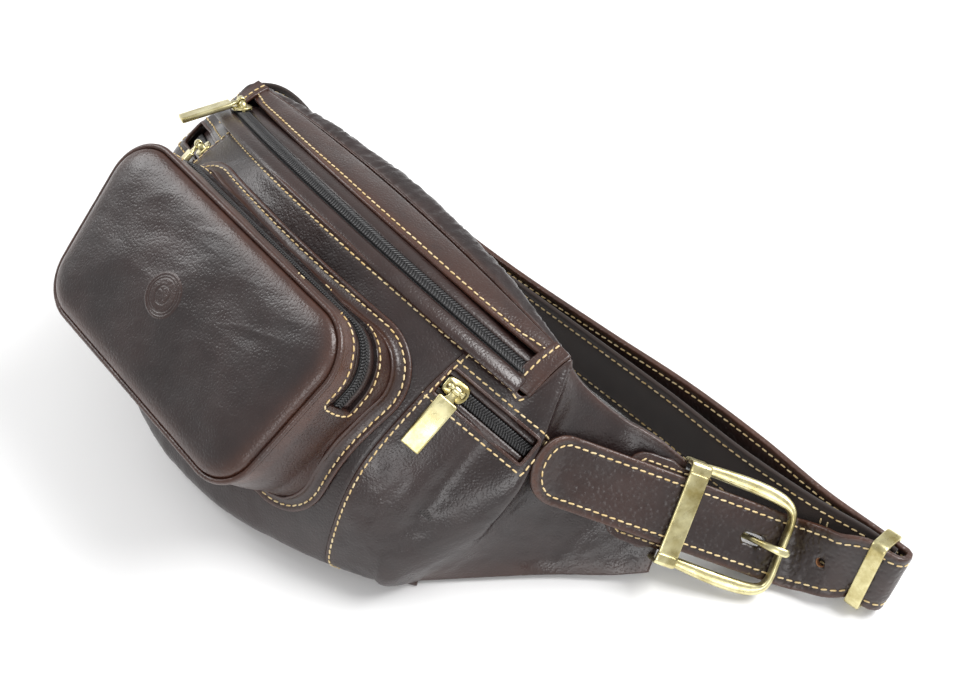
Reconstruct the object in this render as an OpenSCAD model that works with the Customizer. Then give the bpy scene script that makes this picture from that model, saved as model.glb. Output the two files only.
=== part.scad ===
// Leather waist pack with a front pocket, three more zips, a buckled belt and solid brass fittings.
// Millimetres. +X is to the right in front view, +Y runs backwards, +Z is up.
// The pack lies leaning back on its bottom seam and on the belt behind it. Its own pieces are
// drawn upright, in pack axes, and leaned back by lean_back(). The belt is drawn as it lies.

/* [Body] */
// Half width of the body, from its middle to a wing seam
body_half = 120; // [112:1:146]
// Height of the front panel's top edge above the level of the lower back edge
front_h = 120; // [110:1:146]
// Height of the seam along the top of the back panel
back_h = 147; // [136:1:178]
// Distance of the front panel's top edge in front of the upright back plane
body_depth = 57; // [50:1:68]
// Thickness of the outer leather
leather_t = 2.2; // [1.6:0.1:2.8]
// Thickness of the lining cloth
lining_t = 0.8; // [0.5:0.1:1.2]
// Thickness of the foam sheet in the back
foam_t = 2.5; // [1.5:0.5:4]

/* [Front pocket] */
// Half width of the pocket face at its top
pocket_half = 82; // [68:1:84]
// Height of the pocket face
pocket_h = 86; // [72:1:92]
// Height of the pocket's lower edge
pocket_z = 13; // [8:1:20]
// How far the pocket stands out from the front panel
pocket_depth = 39; // [32:1:47]
// Radius of the pocket's corners
pocket_corner = 20; // [14:1:24]
// Width of the sewn flange round the pocket's foot
flange_w = 6; // [4:0.5:7]

/* [Zips] */
// Width of the main zip's closed teeth
main_teeth_w = 7; // [5:0.5:8]
// Width of the pocket zip's closed teeth
pocket_teeth_w = 6; // [5:0.5:7]
// Width of the side zips' closed teeth
side_teeth_w = 6; // [5:0.5:7]
// Length of a side zip's opening
side_zip_len = 44; // [36:1:50]
// Length of a zip pull's grip
pull_len = 27; // [20:1:32]
// Width of a zip pull's grip
pull_w = 10; // [8:0.5:12]
// Radius of the bar that a zip pull hangs on
pull_bar_r = 0.9; // [0.7:0.1:1.2]
// Radial clearance between a pull's eye and its bar
pull_gap = 0.25; // [0.15:0.05:0.4]

/* [Belt] */
// Width of the belt strap
strap_w = 32; // [28:1:36]
// Thickness of the belt strap
strap_t = 3; // [2.4:0.1:3.4]
// Distance between the belt's punched holes
hole_pitch = 33; // [28:1:36]
// Radius of a punched hole
hole_r = 2.2; // [1.8:0.1:2.6]
// Thickness of the belt's second, thinner layer behind the pack
back_strap_t = 2.6; // [2:0.1:3]

/* [Buckle] */
// Length of the buckle, from the middle of its keeper to its toe bar
buckle_len = 48; // [42:1:56]
// Radius of the buckle's side and toe bars
buckle_bar_r = 2.4; // [2:0.1:2.8]
// Radius of the heel bar that the prong and the tab turn on
heel_r = 1.8; // [1.5:0.1:2.2]
// Radial clearance of the prong and the tab on the heel bar
heel_gap = 0.2; // [0.1:0.05:0.3]
// Width of the keeper along the strap
keeper_w = 9.5; // [8:0.5:12]
// Thickness of the keepers' brass plate
keeper_t = 1.8; // [1.4:0.1:2.2]
// Radius of the prong
prong_r = 1.5; // [1.2:0.1:1.8]

/* [Hidden] */
$fn = 32;

// Pose: how far the pack leans back from upright, and the drop of the main zip towards its ends
lean = 50.6;
zip_drop = -5.8;
// The far keeper's distance from the middle of the pack
far_x = body_half + 134;
// Gap left between neighbouring pieces
seam_gap = 0.5;
leather = [0.22, 0.13, 0.11];
suede = [0.13, 0.1, 0.09];
cloth = [0.1, 0.09, 0.09];
brass = [0.74, 0.68, 0.42];
nylon = [0.07, 0.07, 0.07];

// The origin is under the middle of the whole object, on the table: half way from the belt's
// left turn to its right turn, and from the pocket's edge to the back of the belt
origin_at = [(far_x + 9.5 - body_half - 75.4) / 2, 68.3, 0];

// ---------- small functions ----------
function unit(v) = v / norm(v);
function mix(a, b, t) = a + (b - a) * t;
function to_table(p) = [
    p[0], p[1] * cos(lean) + p[2] * sin(lean), -p[1] * sin(lean) + p[2] * cos(lean)
];
function to_pack(p) = [
    p[0], p[1] * cos(lean) - p[2] * sin(lean), p[1] * sin(lean) + p[2] * cos(lean)
];
// Smooth curve through a list of points, with t from 0 to 1
function curve_at(pts, t) =
    let (
        n = len(pts) - 1,
        s = min(t * n, n - 0.000001),
        i = floor(s),
        f = s - i,
        a = pts[max(i - 1, 0)],
        b = pts[i],
        c = pts[i + 1],
        d = pts[min(i + 2, n)]
    )
    0.5 * (2 * b + (c - a) * f + (2 * a - 5 * b + 4 * c - d) * f * f
        + (3 * b - a - 3 * c + d) * f * f * f);
// Place and direction at a distance d along a chain of points
function walk(pts, d, i = 0) =
    let (step = pts[i + 1] - pts[i])
    d <= norm(step) ? [pts[i] + d * unit(step), unit(step)] : walk(pts, d - norm(step), i + 1);
// Normal of a grid of points at row i, column j
function grid_normal(g, i, j) =
    let (
        n = len(g) - 1,
        m = len(g[0]) - 1,
        u = g[min(i + 1, n)][j] - g[max(i - 1, 0)][j],
        v = g[i][min(j + 1, m)] - g[i][max(j - 1, 0)]
    )
    unit(cross(u, v));
// The grid moved along its own normals
function offset_grid(g, d) = [
    for (i = [0 : len(g) - 1]) [for (j = [0 : len(g[0]) - 1]) g[i][j] + d * grid_normal(g, i, j)]
];

// Closed solid between two grids of matching points, b lying on the far side of a
module skin(a, b) {
    n = len(a);
    m = len(a[0]);
    k = n * m;
    points = concat([for (row = a) for (p = row) p], [for (row = b) for (p = row) p]);
    near_faces = [for (i = [0 : n - 2]) for (j = [0 : m - 2]) let (q = i * m + j)
        for (f = [[q, q + m + 1, q + 1], [q, q + m, q + m + 1]]) f];
    far_faces = [for (f = near_faces) [f[2] + k, f[1] + k, f[0] + k]];
    first_row = [for (j = [0 : m - 2]) for (f = [[j, j + 1 + k, j + k], [j, j + 1, j + 1 + k]]) f];
    r = (n - 1) * m;
    last_row = [for (j = [0 : m - 2]) let (q = r + j)
        for (f = [[q + 1, q + k, q + 1 + k], [q + 1, q, q + k]]) f];
    first_col = [for (i = [0 : n - 2]) let (q = i * m)
        for (f = [[q + m, q + k, q + m + k], [q + m, q, q + k]]) f];
    last_col = [for (i = [0 : n - 2]) let (q = i * m + m - 1)
        for (f = [[q, q + m + k, q + k], [q, q + m, q + m + k]]) f];
    polyhedron(points, concat(near_faces, far_faces, first_row, last_row, first_col, last_col));
}
// A sheet of the given thickness whose outer face is the grid
module sheet(grid, thickness, inset = 0) {
    skin(offset_grid(grid, inset), offset_grid(grid, inset + thickness));
}
// A strap swept through stations of [centre, direction across it, share of its full width]
module strap(stations, width, thickness) {
    n = len(stations) - 1;
    sides = [for (i = [0 : n])
        let (
            along = unit(stations[min(i + 1, n)][0] - stations[max(i - 1, 0)][0]),
            across = unit(stations[i][1]),
            out = unit(cross(along, across)) * thickness / 2,
            c = stations[i][0],
            half = across * width / 2 * stations[i][2]
        )
        [c + half + out, c - half + out, c + half - out, c - half - out]];
    skin([for (s = sides) [s[0], s[1]]], [for (s = sides) [s[2], s[3]]]);
}
module as_it_lies() {
    translate(-origin_at) children();
}
module lean_back() {
    as_it_lies() rotate([-lean, 0, 0]) children();
}
// The left-hand copy of a right-hand piece
module other_side() {
    translate(-origin_at) mirror([1, 0, 0]) translate(origin_at) children();
}

// ---------- lines of the pack, in pack axes ----------
// Share of the half width, 0 at the middle and 1 at a wing seam
function reach(x) = abs(x) / body_half;
front_top_y = -body_depth;
function front_top(x) = [x, front_top_y + 42 * pow(reach(x), 2), front_h - 4 * pow(reach(x), 2)];
function zip_back(x) = [x, front_top_y + 19.7 + 28 * pow(reach(x), 2), front_h + 16 - 3 * pow(reach(x), 2)];
function back_top(x) = [x, -15 + 7 * pow(reach(x), 2), back_h - 7 * pow(reach(x), 2)];
// The front panel is nearly flat behind the pocket and turns back towards the wings
pocket_foot_y = -51;
function front_upper(x) = [x, pocket_foot_y - 3 + 37 * pow(reach(x), 4), front_h - 30];
function front_mid(x) = [x, pocket_foot_y + 32 * pow(reach(x), 6), 45];
function front_low(x) = [x, -38 + 26 * pow(reach(x), 2), -14 + 27 * pow(reach(x), 2)];
// The bottom seam lies on the table
seam_r = 1.6;
function bottom_table(x) = [x, -28 + 45 * pow(reach(x), 2), seam_r];
function bottom(x) = to_pack(bottom_table(x));
function front_points(x) = [
    front_top(x), front_upper(x), front_mid(x), front_low(x), bottom(x)
];
function back_points(x) = [
    back_top(x),
    [x, 2 - 5 * pow(reach(x), 2), back_h + 3 - 14 * pow(reach(x), 2)],
    [x, 12 - 9 * pow(reach(x), 2), 95],
    [x, 6 - 2 * pow(reach(x), 2), 36],
    bottom(x)
];
// A panel stops this share of its length short of a seam
trim = 0.035;
function front_row(x, cols = 14) = [for (j = [0 : cols])
    curve_at(front_points(x), mix(0, 1 - trim, j / cols))];
function back_row(x, cols = 14) = [for (j = [0 : cols])
    curve_at(back_points(x), mix(trim, 1 - trim, j / cols))];
panel_seam = 92;
function spread(lo, hi, n) = [for (i = [0 : n]) mix(lo, hi, i / n)];

// Wing edges on the table, as [x beyond the wing seam, y, z]
wing_top = [[0.8, 103, 95], [8, 107, 81], [21, 117, 64], [37, 126, 56], [50, 133, 46]];
wing_low = [[0.8, 17, 2], [16, 38, 2.4], [37, 66, 3.2], [54, 85, 4.8], [65, 98, 7.8]];
// How far the wing's front bulges off the straight line between its edges
wing_bulge = [21, 9, 2, 0.6, 0.3];
function wing_point(list, w) = let (p = curve_at(list, w)) [p[0] + body_half, p[1], p[2]];
function wing_row(w, cols, bulge) =
    let (
        t = wing_point(wing_top, w),
        l = wing_point(wing_low, w),
        ahead = wing_point(wing_top, min(w + 0.05, 1)),
        behind = wing_point(wing_top, max(w - 0.05, 0)),
        out = unit(cross(ahead - behind, t - l))
    )
    [for (j = [0 : cols])
        to_pack(mix(t, l, mix(0.01, 0.99, j / cols)) + out * bulge * sin(180 * j / cols))];
wing_rows = 9;
side_rows = concat(
    [for (x = spread(panel_seam + seam_gap, body_half - 0.6, 4)) front_row(x)],
    [for (i = [0 : wing_rows]) let (bulge = curve_at([for (b = wing_bulge) [b, 0, 0]], i / wing_rows)[0])
        wing_row(i / wing_rows, 14, bulge)]
);
wing_lining_rows = [for (i = [1 : wing_rows]) wing_row(i / wing_rows, 8, 0)];

// ---------- main zip, on an arc ----------
main_zip_mid = (front_top(0) + zip_back(0)) / 2;
zip_sag = 34.8;
main_zip_r = (pow(body_half, 2) + pow(zip_sag, 2)) / (2 * zip_sag);
main_zip_half_angle = asin((body_half - 4) / main_zip_r);
gusset_slope = 42;
teeth_t = 2.2;
module main_zip_axes() {
    translate(main_zip_mid) rotate([zip_drop, 0, 0]) translate([0, main_zip_r, 0]) children();
}
// Sweep a profile along the zip's arc; profile x runs down the slope, profile y runs outwards
module along_main_zip(half_angle) {
    main_zip_axes() rotate([0, 0, -90 - half_angle]) rotate_extrude(angle = 2 * half_angle, $fn = 180)
        translate([main_zip_r, 0]) rotate(-gusset_slope) children();
}
// A place on the main zip at the given angle from its middle: x along the zip, z outwards
module on_main_zip(angle) {
    main_zip_axes() rotate([0, 0, angle]) translate([0, -main_zip_r, 0])
        rotate([gusset_slope, 0, 0]) children();
}

// ---------- zip fittings ----------
slider_len = 12;
slider_rest = -28.4;
// Width of the slot that a slider's middle post runs in, between the two rows of teeth
teeth_slot = 2.6;
bar_h = 5.6;
// Cross-section of the two closed rows of teeth, w wide over both
module teeth_rows(w) {
    for (s = [-1, 1])
        translate([s * (w + teeth_slot) / 4, 0]) square([(w - teeth_slot) / 2, teeth_t], center = true);
}
// Slider body on teeth of width w: x along the zip, z outwards
module slider(w) {
    body_w = w + 3;
    plate_t = 1.3;
    gap = teeth_t / 2 + 0.35;
    for (s = [-1, 1])
        translate([0, 0, s * (gap + plate_t / 2)]) hull() {
            translate([-slider_len / 2 + 2, 0, 0]) cube([4, body_w - 3, plate_t], center = true);
            translate([slider_len / 2 - 3, 0, 0]) cube([6, body_w, plate_t], center = true);
        }
    translate([slider_len / 2 - 1.2, 0, 0]) cube([2.4, 1.6, 2 * gap + 1], center = true);
    for (x = [-3.4, 3.4])
        translate([x, 0, gap + plate_t / 2])
            cylinder(h = bar_h - gap - plate_t / 2 + pull_bar_r, r = pull_bar_r);
    translate([-3.4, 0, bar_h]) rotate([0, 90, 0]) cylinder(h = 6.8, r = pull_bar_r);
}
// Zip pull that turns on a bar along x: it hangs along +y
module pull() {
    eye_w = 4.2;
    difference() {
        union() {
            translate([-eye_w / 2, 0, 0]) rotate([0, 90, 0])
                cylinder(h = eye_w, r = pull_bar_r + pull_gap + 1);
            translate([-eye_w / 2, 0, -0.9]) cube([eye_w, 6, 1.8]);
        }
        translate([-eye_w, 0, 0]) rotate([0, 90, 0]) cylinder(h = 2 * eye_w, r = pull_bar_r + pull_gap);
    }
    translate([-pull_w / 2, 5, -1.4]) cube([pull_w, pull_len - 1, 2.8]);
    translate([-pull_w / 2 + 0.6, 4, -1.1]) cube([pull_w - 1.2, pull_len + 1, 2.2]);
}
module pull_place(angle) {
    translate([0, 0, bar_h]) rotate([angle, 0, 0]) pull();
}

// ---------- pocket ----------
pocket_taper = 5;
face_y = pocket_foot_y - pocket_depth;
module pocket_outline(grow) {
    r = pocket_corner + grow;
    hull() {
        for (s = [-1, 1]) {
            translate([s * (pocket_half - pocket_corner), pocket_z + pocket_h - pocket_corner]) circle(r = r);
            translate([s * (pocket_half - pocket_taper - pocket_corner), pocket_z + pocket_corner]) circle(r = r);
        }
    }
}
// Stand a flat outline up so that it faces forwards, from y = from to y = to
module wall(from, to) {
    translate([0, to, 0]) rotate([90, 0, 0]) linear_extrude(height = to - from) children();
}
pocket_zip_y = pocket_foot_y - 19;
pocket_top_z = pocket_z + pocket_h;
pocket_window = pocket_teeth_w + 9;
// The pocket's zip runs down its left side, over its top and a little way down its right side
pocket_zip_low = pocket_z + 37;
pocket_zip_high = pocket_z + 57;
module pocket_zip_reach(grow = 0) {
    wall(pocket_zip_y - 12, pocket_zip_y + 12) {
        translate([-pocket_half - 20, pocket_zip_low - grow]) square([pocket_half + 20, pocket_h]);
        translate([-1, pocket_zip_high - grow]) square([pocket_half + 20, pocket_h]);
    }
}
// Part of a band round the pocket: between two outlines, from y = from to y = to
module pocket_ring(inner, outer, from, to) {
    wall(from, to) difference() {
        pocket_outline(outer);
        pocket_outline(inner);
    }
}
// Everything behind a surface that stands the given distance in front of the front panel
face_rows = [for (x = spread(-panel_seam, panel_seam, 14)) front_row(x)];
module behind_face(clear) {
    rows = [for (row = face_rows) [for (j = [0 : 10]) row[j]]];
    skin(offset_grid(rows, -clear), [for (row = rows) [for (p = row) p + [0, 40, 0]]]);
}

// ---------- side zips ----------
side_zip_at = [body_half - 7, -21.5, 99];
side_zip_yaw = 36;
side_zip_fall = 4;
side_zip_lean = 12;
module on_side_zip() {
    translate(side_zip_at) rotate([0, side_zip_fall, side_zip_yaw]) rotate([90 - side_zip_lean, 0, 0]) children();
}
side_window = [side_zip_len + 5, 14];

// ---------- belt ----------
// Middle of the strap under the buckle's keeper, and the strap's attitude there
buckle_at = [body_half + 63, 118, 34];
buckle_turn = [44.9, 22, 42.8];
module on_buckle() {
    translate(buckle_at) rotate(buckle_turn) children();
}
function turn_x(p, a) = [p[0], p[1] * cos(a) - p[2] * sin(a), p[1] * sin(a) + p[2] * cos(a)];
function turn_y(p, a) = [p[0] * cos(a) + p[2] * sin(a), p[1], -p[0] * sin(a) + p[2] * cos(a)];
function turn_z(p, a) = [p[0] * cos(a) - p[1] * sin(a), p[0] * sin(a) + p[1] * cos(a), p[2]];
function buckle_dir(p) = turn_z(turn_y(turn_x(p, buckle_turn[0]), buckle_turn[1]), buckle_turn[2]);
strap_along = buckle_dir([1, 0, 0]);
strap_across = buckle_dir([0, 1, 0]);
tip_reach = 74;
hole_at = buckle_len - 11;
strap_out = buckle_dir([0, 0, 1]);
function on_strap(x, lift = 0) = buckle_at + x * strap_along + lift * strap_out;
// The far keeper holds three layers of belt, all leaning back together, and stands on the table
far_lean_angle = 21;
far_lean = [0, sin(far_lean_angle), cos(far_lean_angle)];
keeper_slack = 0.5;
far_inner = [strap_w + 2 * keeper_slack, 2 * strap_t + back_strap_t + 5.8];
far_outer = far_inner + [2 * keeper_t, 2 * keeper_t];
far_mid_z = (far_outer[0] * cos(far_lean_angle) + far_outer[1] * sin(far_lean_angle)) / 2;
// Away from the keeper the belt stands on its edge
strap_mid_z = strap_w / 2 + 0.6;
// A place among the layers in the keeper, which lean back all together
far_mid_y = 170.4;
function in_keeper(dx, y) = [far_x + dx, y, far_mid_z - (y - far_mid_y) * tan(far_lean_angle)];
tongue_stations = concat(
    [for (t = [[0, 0.42, 9], [2.5, 0.68, 7.6], [6, 0.87, 5.4], [10, 0.97, 3.2], [15, 1, 1.2]])
        [on_strap(t[0] - tip_reach, t[2]), strap_across, t[1]]],
    [for (x = [-30, 0, 30, buckle_len + 3]) [on_strap(x), strap_across, 1]],
    [
        [[body_half + 108, 155, 16.5], [-0.22, 0.56, 0.8], 1],
        [[body_half + 119, 158.4, far_mid_z], [-0.08, 0.44, 0.9], 1],
        [in_keeper(-6, 164.6), far_lean, 1],
        [in_keeper(2, 166.6), far_lean, 1],
        [in_keeper(6.6, 168.6), far_lean, 1],
        [in_keeper(8, 172.6), far_lean, 1],
        [in_keeper(6, 176.2), far_lean, 1],
        [in_keeper(1, 175.9), far_lean, 1],
        [in_keeper(-10, 174.6), far_lean, 1],
        [[far_x - 40, 173, strap_mid_z + 1.4], [0, 0.28, 0.96], 1],
        [[far_x - 80, 174.6, strap_mid_z], [0, 0.2, 0.98], 1],
        [[far_x - 125, 171.8, strap_mid_z], [0, 0.16, 0.99], 1],
        [[far_x - 175, 165, strap_mid_z], [0, 0.12, 0.99], 1],
        [[far_x - 235, 157.5, strap_mid_z], [0, 0.1, 0.99], 1],
        [[far_x - 290, 153.5, strap_mid_z], [0, 0.1, 0.99], 1]
    ]
);
back_strap_stations = [
    [in_keeper(2, 171.2), far_lean, 1],
    [in_keeper(-12, 169.6), far_lean, 1],
    [[far_x - 40, 166, strap_mid_z + 1.6], [0, 0.28, 0.96], 1],
    [[far_x - 80, 162.8, strap_mid_z], [0, 0.2, 0.98], 1],
    [[far_x - 125, 161, strap_mid_z], [0, 0.16, 0.99], 1],
    [[far_x - 175, 157.2, strap_mid_z], [0, 0.12, 0.99], 1],
    [[far_x - 235, 152, strap_mid_z], [0, 0.1, 0.99], 1],
    [[far_x - 290, 148, strap_mid_z], [0, 0.1, 0.99], 1],
    [[-body_half + 30, 145, strap_mid_z], [0, 0.1, 0.99], 1],
    [[-body_half - 20, 147, strap_mid_z], [0, 0.1, 0.99], 1],
    [[-body_half - 46, 149, strap_mid_z], [0.06, 0.1, 0.98], 1],
    [[-body_half - 60, 145, strap_mid_z + 1], [0.12, 0.24, 0.95], 1],
    [[-body_half - 68, 136, strap_mid_z + 3], [0.2, 0.42, 0.88], 1],
    [[-body_half - 70, 125, strap_mid_z + 7], [0.26, 0.58, 0.76], 1],
    [[-body_half - 66, 116, strap_mid_z + 12], [0.29, 0.68, 0.68], 1],
    [[-body_half - 57, 109, strap_mid_z + 17.5], [0.29, 0.7, 0.65], 1]
];

// ---------- pieces: body ----------
module front_panel() {
    color(leather) lean_back() sheet(face_rows, leather_t);
}
module side_cutout() {
    on_side_zip() cube([side_window[0], side_window[1], 24], center = true);
}
module side_panel_r() {
    color(leather) lean_back() difference() {
        sheet(side_rows, leather_t);
        side_cutout();
    }
}
module side_panel_l() {
    other_side() side_panel_r();
}
module back_panel() {
    rows = [for (x = spread(-body_half + 5, body_half - 5, 16)) back_row(x)];
    color(leather) lean_back() skin(offset_grid(rows, -leather_t), rows);
}
module top_band() {
    rows = [for (x = spread(-body_half + 7.5, body_half - 7.5, 14))
        [for (j = [0 : 4]) mix(back_top(x), zip_back(x), mix(0.11, 0.94, j / 4))]];
    color(leather) lean_back() sheet(rows, leather_t);
}
module bottom_binding() {
    xs = spread(-body_half + 1, body_half - 1, 24);
    ring = [for (a = [0 : 60 : 359]) [0, cos(a), sin(a)] * seam_r];
    points = [for (x = xs) for (p = ring) bottom_table(x) + p];
    n = len(ring);
    sides = [for (i = [0 : len(xs) - 2]) for (j = [0 : n - 1]) let (k = (j + 1) % n)
        for (f = [[i * n + j, i * n + n + j, i * n + n + k], [i * n + j, i * n + n + k, i * n + k]]) f];
    last = (len(xs) - 1) * n;
    color(leather) as_it_lies() polyhedron(points, concat(sides,
        [[for (j = [0 : n - 1]) j]], [[for (j = [0 : n - 1]) last + n - 1 - j]]));
}
module wing_lining_r() {
    color(suede) lean_back() sheet(wing_lining_rows, leather_t, leather_t + seam_gap);
}
module wing_lining_l() {
    other_side() wing_lining_r();
}
module zip_end_r() {
    x = body_half - 2.4;
    ends = [mix(back_top(x), front_top(x), 0.1), mix(back_top(x), front_top(x), 0.86)];
    color(leather) lean_back() skin(
        [for (s = [-4.4, 0]) [for (p = ends) p + [s, 0, 0]]],
        [for (s = [-4.4, 0]) [for (p = ends) p + [s, 3, -1]]]
    );
}
module zip_end_l() {
    other_side() zip_end_r();
}
module main_zip_tape() {
    color(nylon) lean_back() along_main_zip(main_zip_half_angle - 1)
        for (s = [-1, 1]) translate([s * (main_teeth_w / 2 + 3.9), -0.4]) square([7, 0.8], center = true);
}
module main_zip_teeth() {
    color(nylon) lean_back() along_main_zip(main_zip_half_angle - 1) teeth_rows(main_teeth_w);
}
module main_slider() {
    color(brass) lean_back() on_main_zip(slider_rest) slider(main_teeth_w);
}
module main_pull() {
    color(brass) lean_back() on_main_zip(slider_rest) pull_place(-166);
}
// ---------- pieces: pocket ----------
module pocket_front() {
    color(leather) lean_back() difference() {
        hull() {
            wall(face_y, face_y + leather_t) pocket_outline(-1);
            wall(face_y - 6, face_y - 5) pocket_outline(-pocket_corner + 4);
        }
        hull() {
            wall(face_y + leather_t, face_y + leather_t + 1) pocket_outline(-1 - leather_t);
            wall(face_y - 6 + leather_t, face_y - 5 + leather_t) pocket_outline(-pocket_corner + 3);
        }
    }
}
module pocket_gusset() {
    color(leather) lean_back() difference() {
        pocket_ring(1 - leather_t, 1, face_y + leather_t + seam_gap, pocket_foot_y + 16);
        behind_face(2.2);
        intersection() {
            pocket_ring(-3, 3, pocket_zip_y - pocket_window / 2, pocket_zip_y + pocket_window / 2);
            pocket_zip_reach(1);
        }
    }
}
module pocket_flange() {
    color(leather) lean_back() intersection() {
        pocket_ring(-2, flange_w, pocket_foot_y - 16, pocket_foot_y + 30);
        sheet(face_rows, 1.6, -1.9);
    }
}
module pocket_piping() {
    color(leather) lean_back() pocket_ring(-0.7, 2.6, face_y, face_y + 2.4);
}
module pocket_zip_tape() {
    color(nylon) lean_back() intersection() {
        for (s = [-1, 1]) {
            mid_y = pocket_zip_y + s * (pocket_teeth_w / 2 + 2.2);
            pocket_ring(-0.4, 0.4, mid_y - 2, mid_y + 2);
        }
        pocket_zip_reach();
    }
}
module pocket_zip_teeth() {
    row_w = (pocket_teeth_w - teeth_slot) / 2;
    color(nylon) lean_back() intersection() {
        for (s = [-1, 1]) {
            mid_y = pocket_zip_y + s * (row_w + teeth_slot) / 2;
            pocket_ring(-teeth_t / 2, teeth_t / 2, mid_y - row_w / 2, mid_y + row_w / 2);
        }
        pocket_zip_reach();
    }
}
// The pocket's slider rests low on its left side: x up the side, z outwards
pocket_slider_z = pocket_zip_low + 8;
side_run = pocket_h - 2 * pocket_corner;
module on_pocket_zip() {
    in = pocket_taper * (pocket_top_z - pocket_corner - pocket_slider_z) / side_run;
    translate([-pocket_half + in, pocket_zip_y, pocket_slider_z])
        rotate([0, -90 - atan(pocket_taper / side_run), 0]) children();
}
module pocket_slider() {
    color(brass) lean_back() on_pocket_zip() slider(pocket_teeth_w);
}
module pocket_pull() {
    color(brass) lean_back() on_pocket_zip() pull_place(38);
}
// ---------- pieces: side pockets ----------
module side_zip_tape_r() {
    color(nylon) lean_back() on_side_zip()
        for (s = [-1, 1]) translate([0, s * (side_teeth_w / 2 + 1.9), -0.4])
            cube([side_zip_len + 3, 3.4, 0.8], center = true);
}
module side_zip_teeth_r() {
    color(nylon) lean_back() on_side_zip() rotate([90, 0, 90])
        linear_extrude(height = side_zip_len + 3, center = true) teeth_rows(side_teeth_w);
}
side_slider_x = -side_zip_len / 2 + slider_len / 2 - 1;
module side_slider_r() {
    color(brass) lean_back() on_side_zip() translate([side_slider_x, 0, 0]) slider(side_teeth_w);
}
module side_pull_r() {
    color(brass) lean_back() on_side_zip() translate([side_slider_x, 0, 0]) pull_place(185);
}
module side_pouch_r() {
    color(cloth) lean_back() on_side_zip() translate([-6, -20, -14])
        cube([side_zip_len - 16, 36, 2.4], center = true);
}
module side_zip_tape_l() {
    other_side() side_zip_tape_r();
}
module side_zip_teeth_l() {
    other_side() side_zip_teeth_r();
}
module side_slider_l() {
    other_side() side_slider_r();
}
module side_pull_l() {
    other_side() side_pull_r();
}
module side_pouch_l() {
    other_side() side_pouch_r();
}
// ---------- pieces: inside ----------
module front_lining() {
    rows = [for (x = spread(-panel_seam + 8, panel_seam - 8, 10)) [for (j = [1 : 11]) front_row(x, 12)[j]]];
    color(cloth) lean_back() sheet(rows, lining_t, leather_t + 2 * seam_gap);
}
module back_foam() {
    rows = [for (x = spread(-body_half + 18, body_half - 18, 10)) [for (j = [3 : 10]) back_row(x, 12)[j]]];
    near = -leather_t - seam_gap - 0.7;
    color(cloth) lean_back() skin(offset_grid(rows, near - foam_t), offset_grid(rows, near));
}
module divider() {
    color(cloth) lean_back() translate([0, -16, 62]) cube([2 * body_half - 70, lining_t, 108], center = true);
}
// ---------- pieces: belt and buckle ----------
tab_half = 21;
loop_half = 18.6;
heel_x = 3;
heel_z = -strap_t / 2 - heel_r - heel_gap - leather_t - 0.4;
tab_r = heel_r + heel_gap;
module tab_right() {
    color(leather) as_it_lies() on_buckle() difference() {
        union() {
            translate([heel_x, -loop_half, heel_z]) rotate([-90, 0, 0])
                cylinder(h = 2 * loop_half, r = tab_r + leather_t);
            translate([heel_x - 10, -loop_half, heel_z + tab_r]) cube([10, 2 * loop_half, leather_t]);
            translate([heel_x - 30, -tab_half, heel_z + tab_r]) cube([21, 2 * tab_half, leather_t]);
        }
        translate([heel_x, -30, heel_z]) rotate([-90, 0, 0]) cylinder(h = 60, r = tab_r);
        translate([heel_x - 6, -4, heel_z - 8]) cube([16, 8, 20]);
    }
}
frame_half = 22;
toe_z = strap_t / 2 + buckle_bar_r + 0.8;
keeper_half = 24.5;
keeper_in = strap_t / 2 + 0.9;
module frame_ball(x, y, z, r) {
    translate([x, y, z]) sphere(r = r);
}
module buckle_frame() {
    color(brass) as_it_lies() on_buckle() difference() {
        union() {
            for (s = [-1, 1]) {
                hull() {
                    frame_ball(heel_x, s * frame_half, heel_z, 3);
                    frame_ball(buckle_len * 0.55, s * (frame_half + 0.5), -1, 3);
                }
                hull() {
                    frame_ball(buckle_len * 0.55, s * (frame_half + 0.5), -1, 3);
                    frame_ball(buckle_len, s * (frame_half - 3.5), toe_z, buckle_bar_r);
                }
                translate([-keeper_w / 2, s > 0 ? keeper_half - keeper_t : -keeper_half, heel_z])
                    cube([keeper_w, keeper_t, keeper_in + keeper_t - heel_z]);
            }
            translate([buckle_len, -frame_half + 3.5, toe_z]) rotate([-90, 0, 0])
                cylinder(h = 2 * frame_half - 7, r = buckle_bar_r);
            translate([-keeper_w / 2, -keeper_half, keeper_in]) cube([keeper_w, 2 * keeper_half, keeper_t]);
        }
        translate([heel_x, -frame_half - 1.5, heel_z]) rotate([-90, 0, 0])
            cylinder(h = 2 * frame_half + 3, r = heel_r);
    }
}
module heel_bar() {
    color(brass) as_it_lies() on_buckle() translate([heel_x, -frame_half - 1.4, heel_z]) rotate([-90, 0, 0])
        cylinder(h = 2 * frame_half + 2.8, r = heel_r);
}
under_z = -strap_t / 2 - prong_r - 1.7;
module prong() {
    color(brass) as_it_lies() on_buckle() difference() {
        union() {
            translate([heel_x, -3, heel_z]) rotate([-90, 0, 0]) cylinder(h = 6, r = heel_r + heel_gap + 1.6);
            hull() {
                frame_ball(heel_x + 3, 0, heel_z, prong_r);
                frame_ball(hole_at - 6, 0, under_z, prong_r);
            }
            hull() {
                frame_ball(hole_at - 6, 0, under_z, prong_r);
                frame_ball(hole_at + 4.5, 0, toe_z + 3.6, prong_r);
            }
            hull() {
                frame_ball(hole_at + 4.5, 0, toe_z + 3.6, prong_r);
                frame_ball(buckle_len + 1.5, 0, toe_z + buckle_bar_r + prong_r + 0.3, prong_r);
            }
        }
        translate([heel_x, -5, heel_z]) rotate([-90, 0, 0]) cylinder(h = 10, r = heel_r + heel_gap);
    }
}
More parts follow.
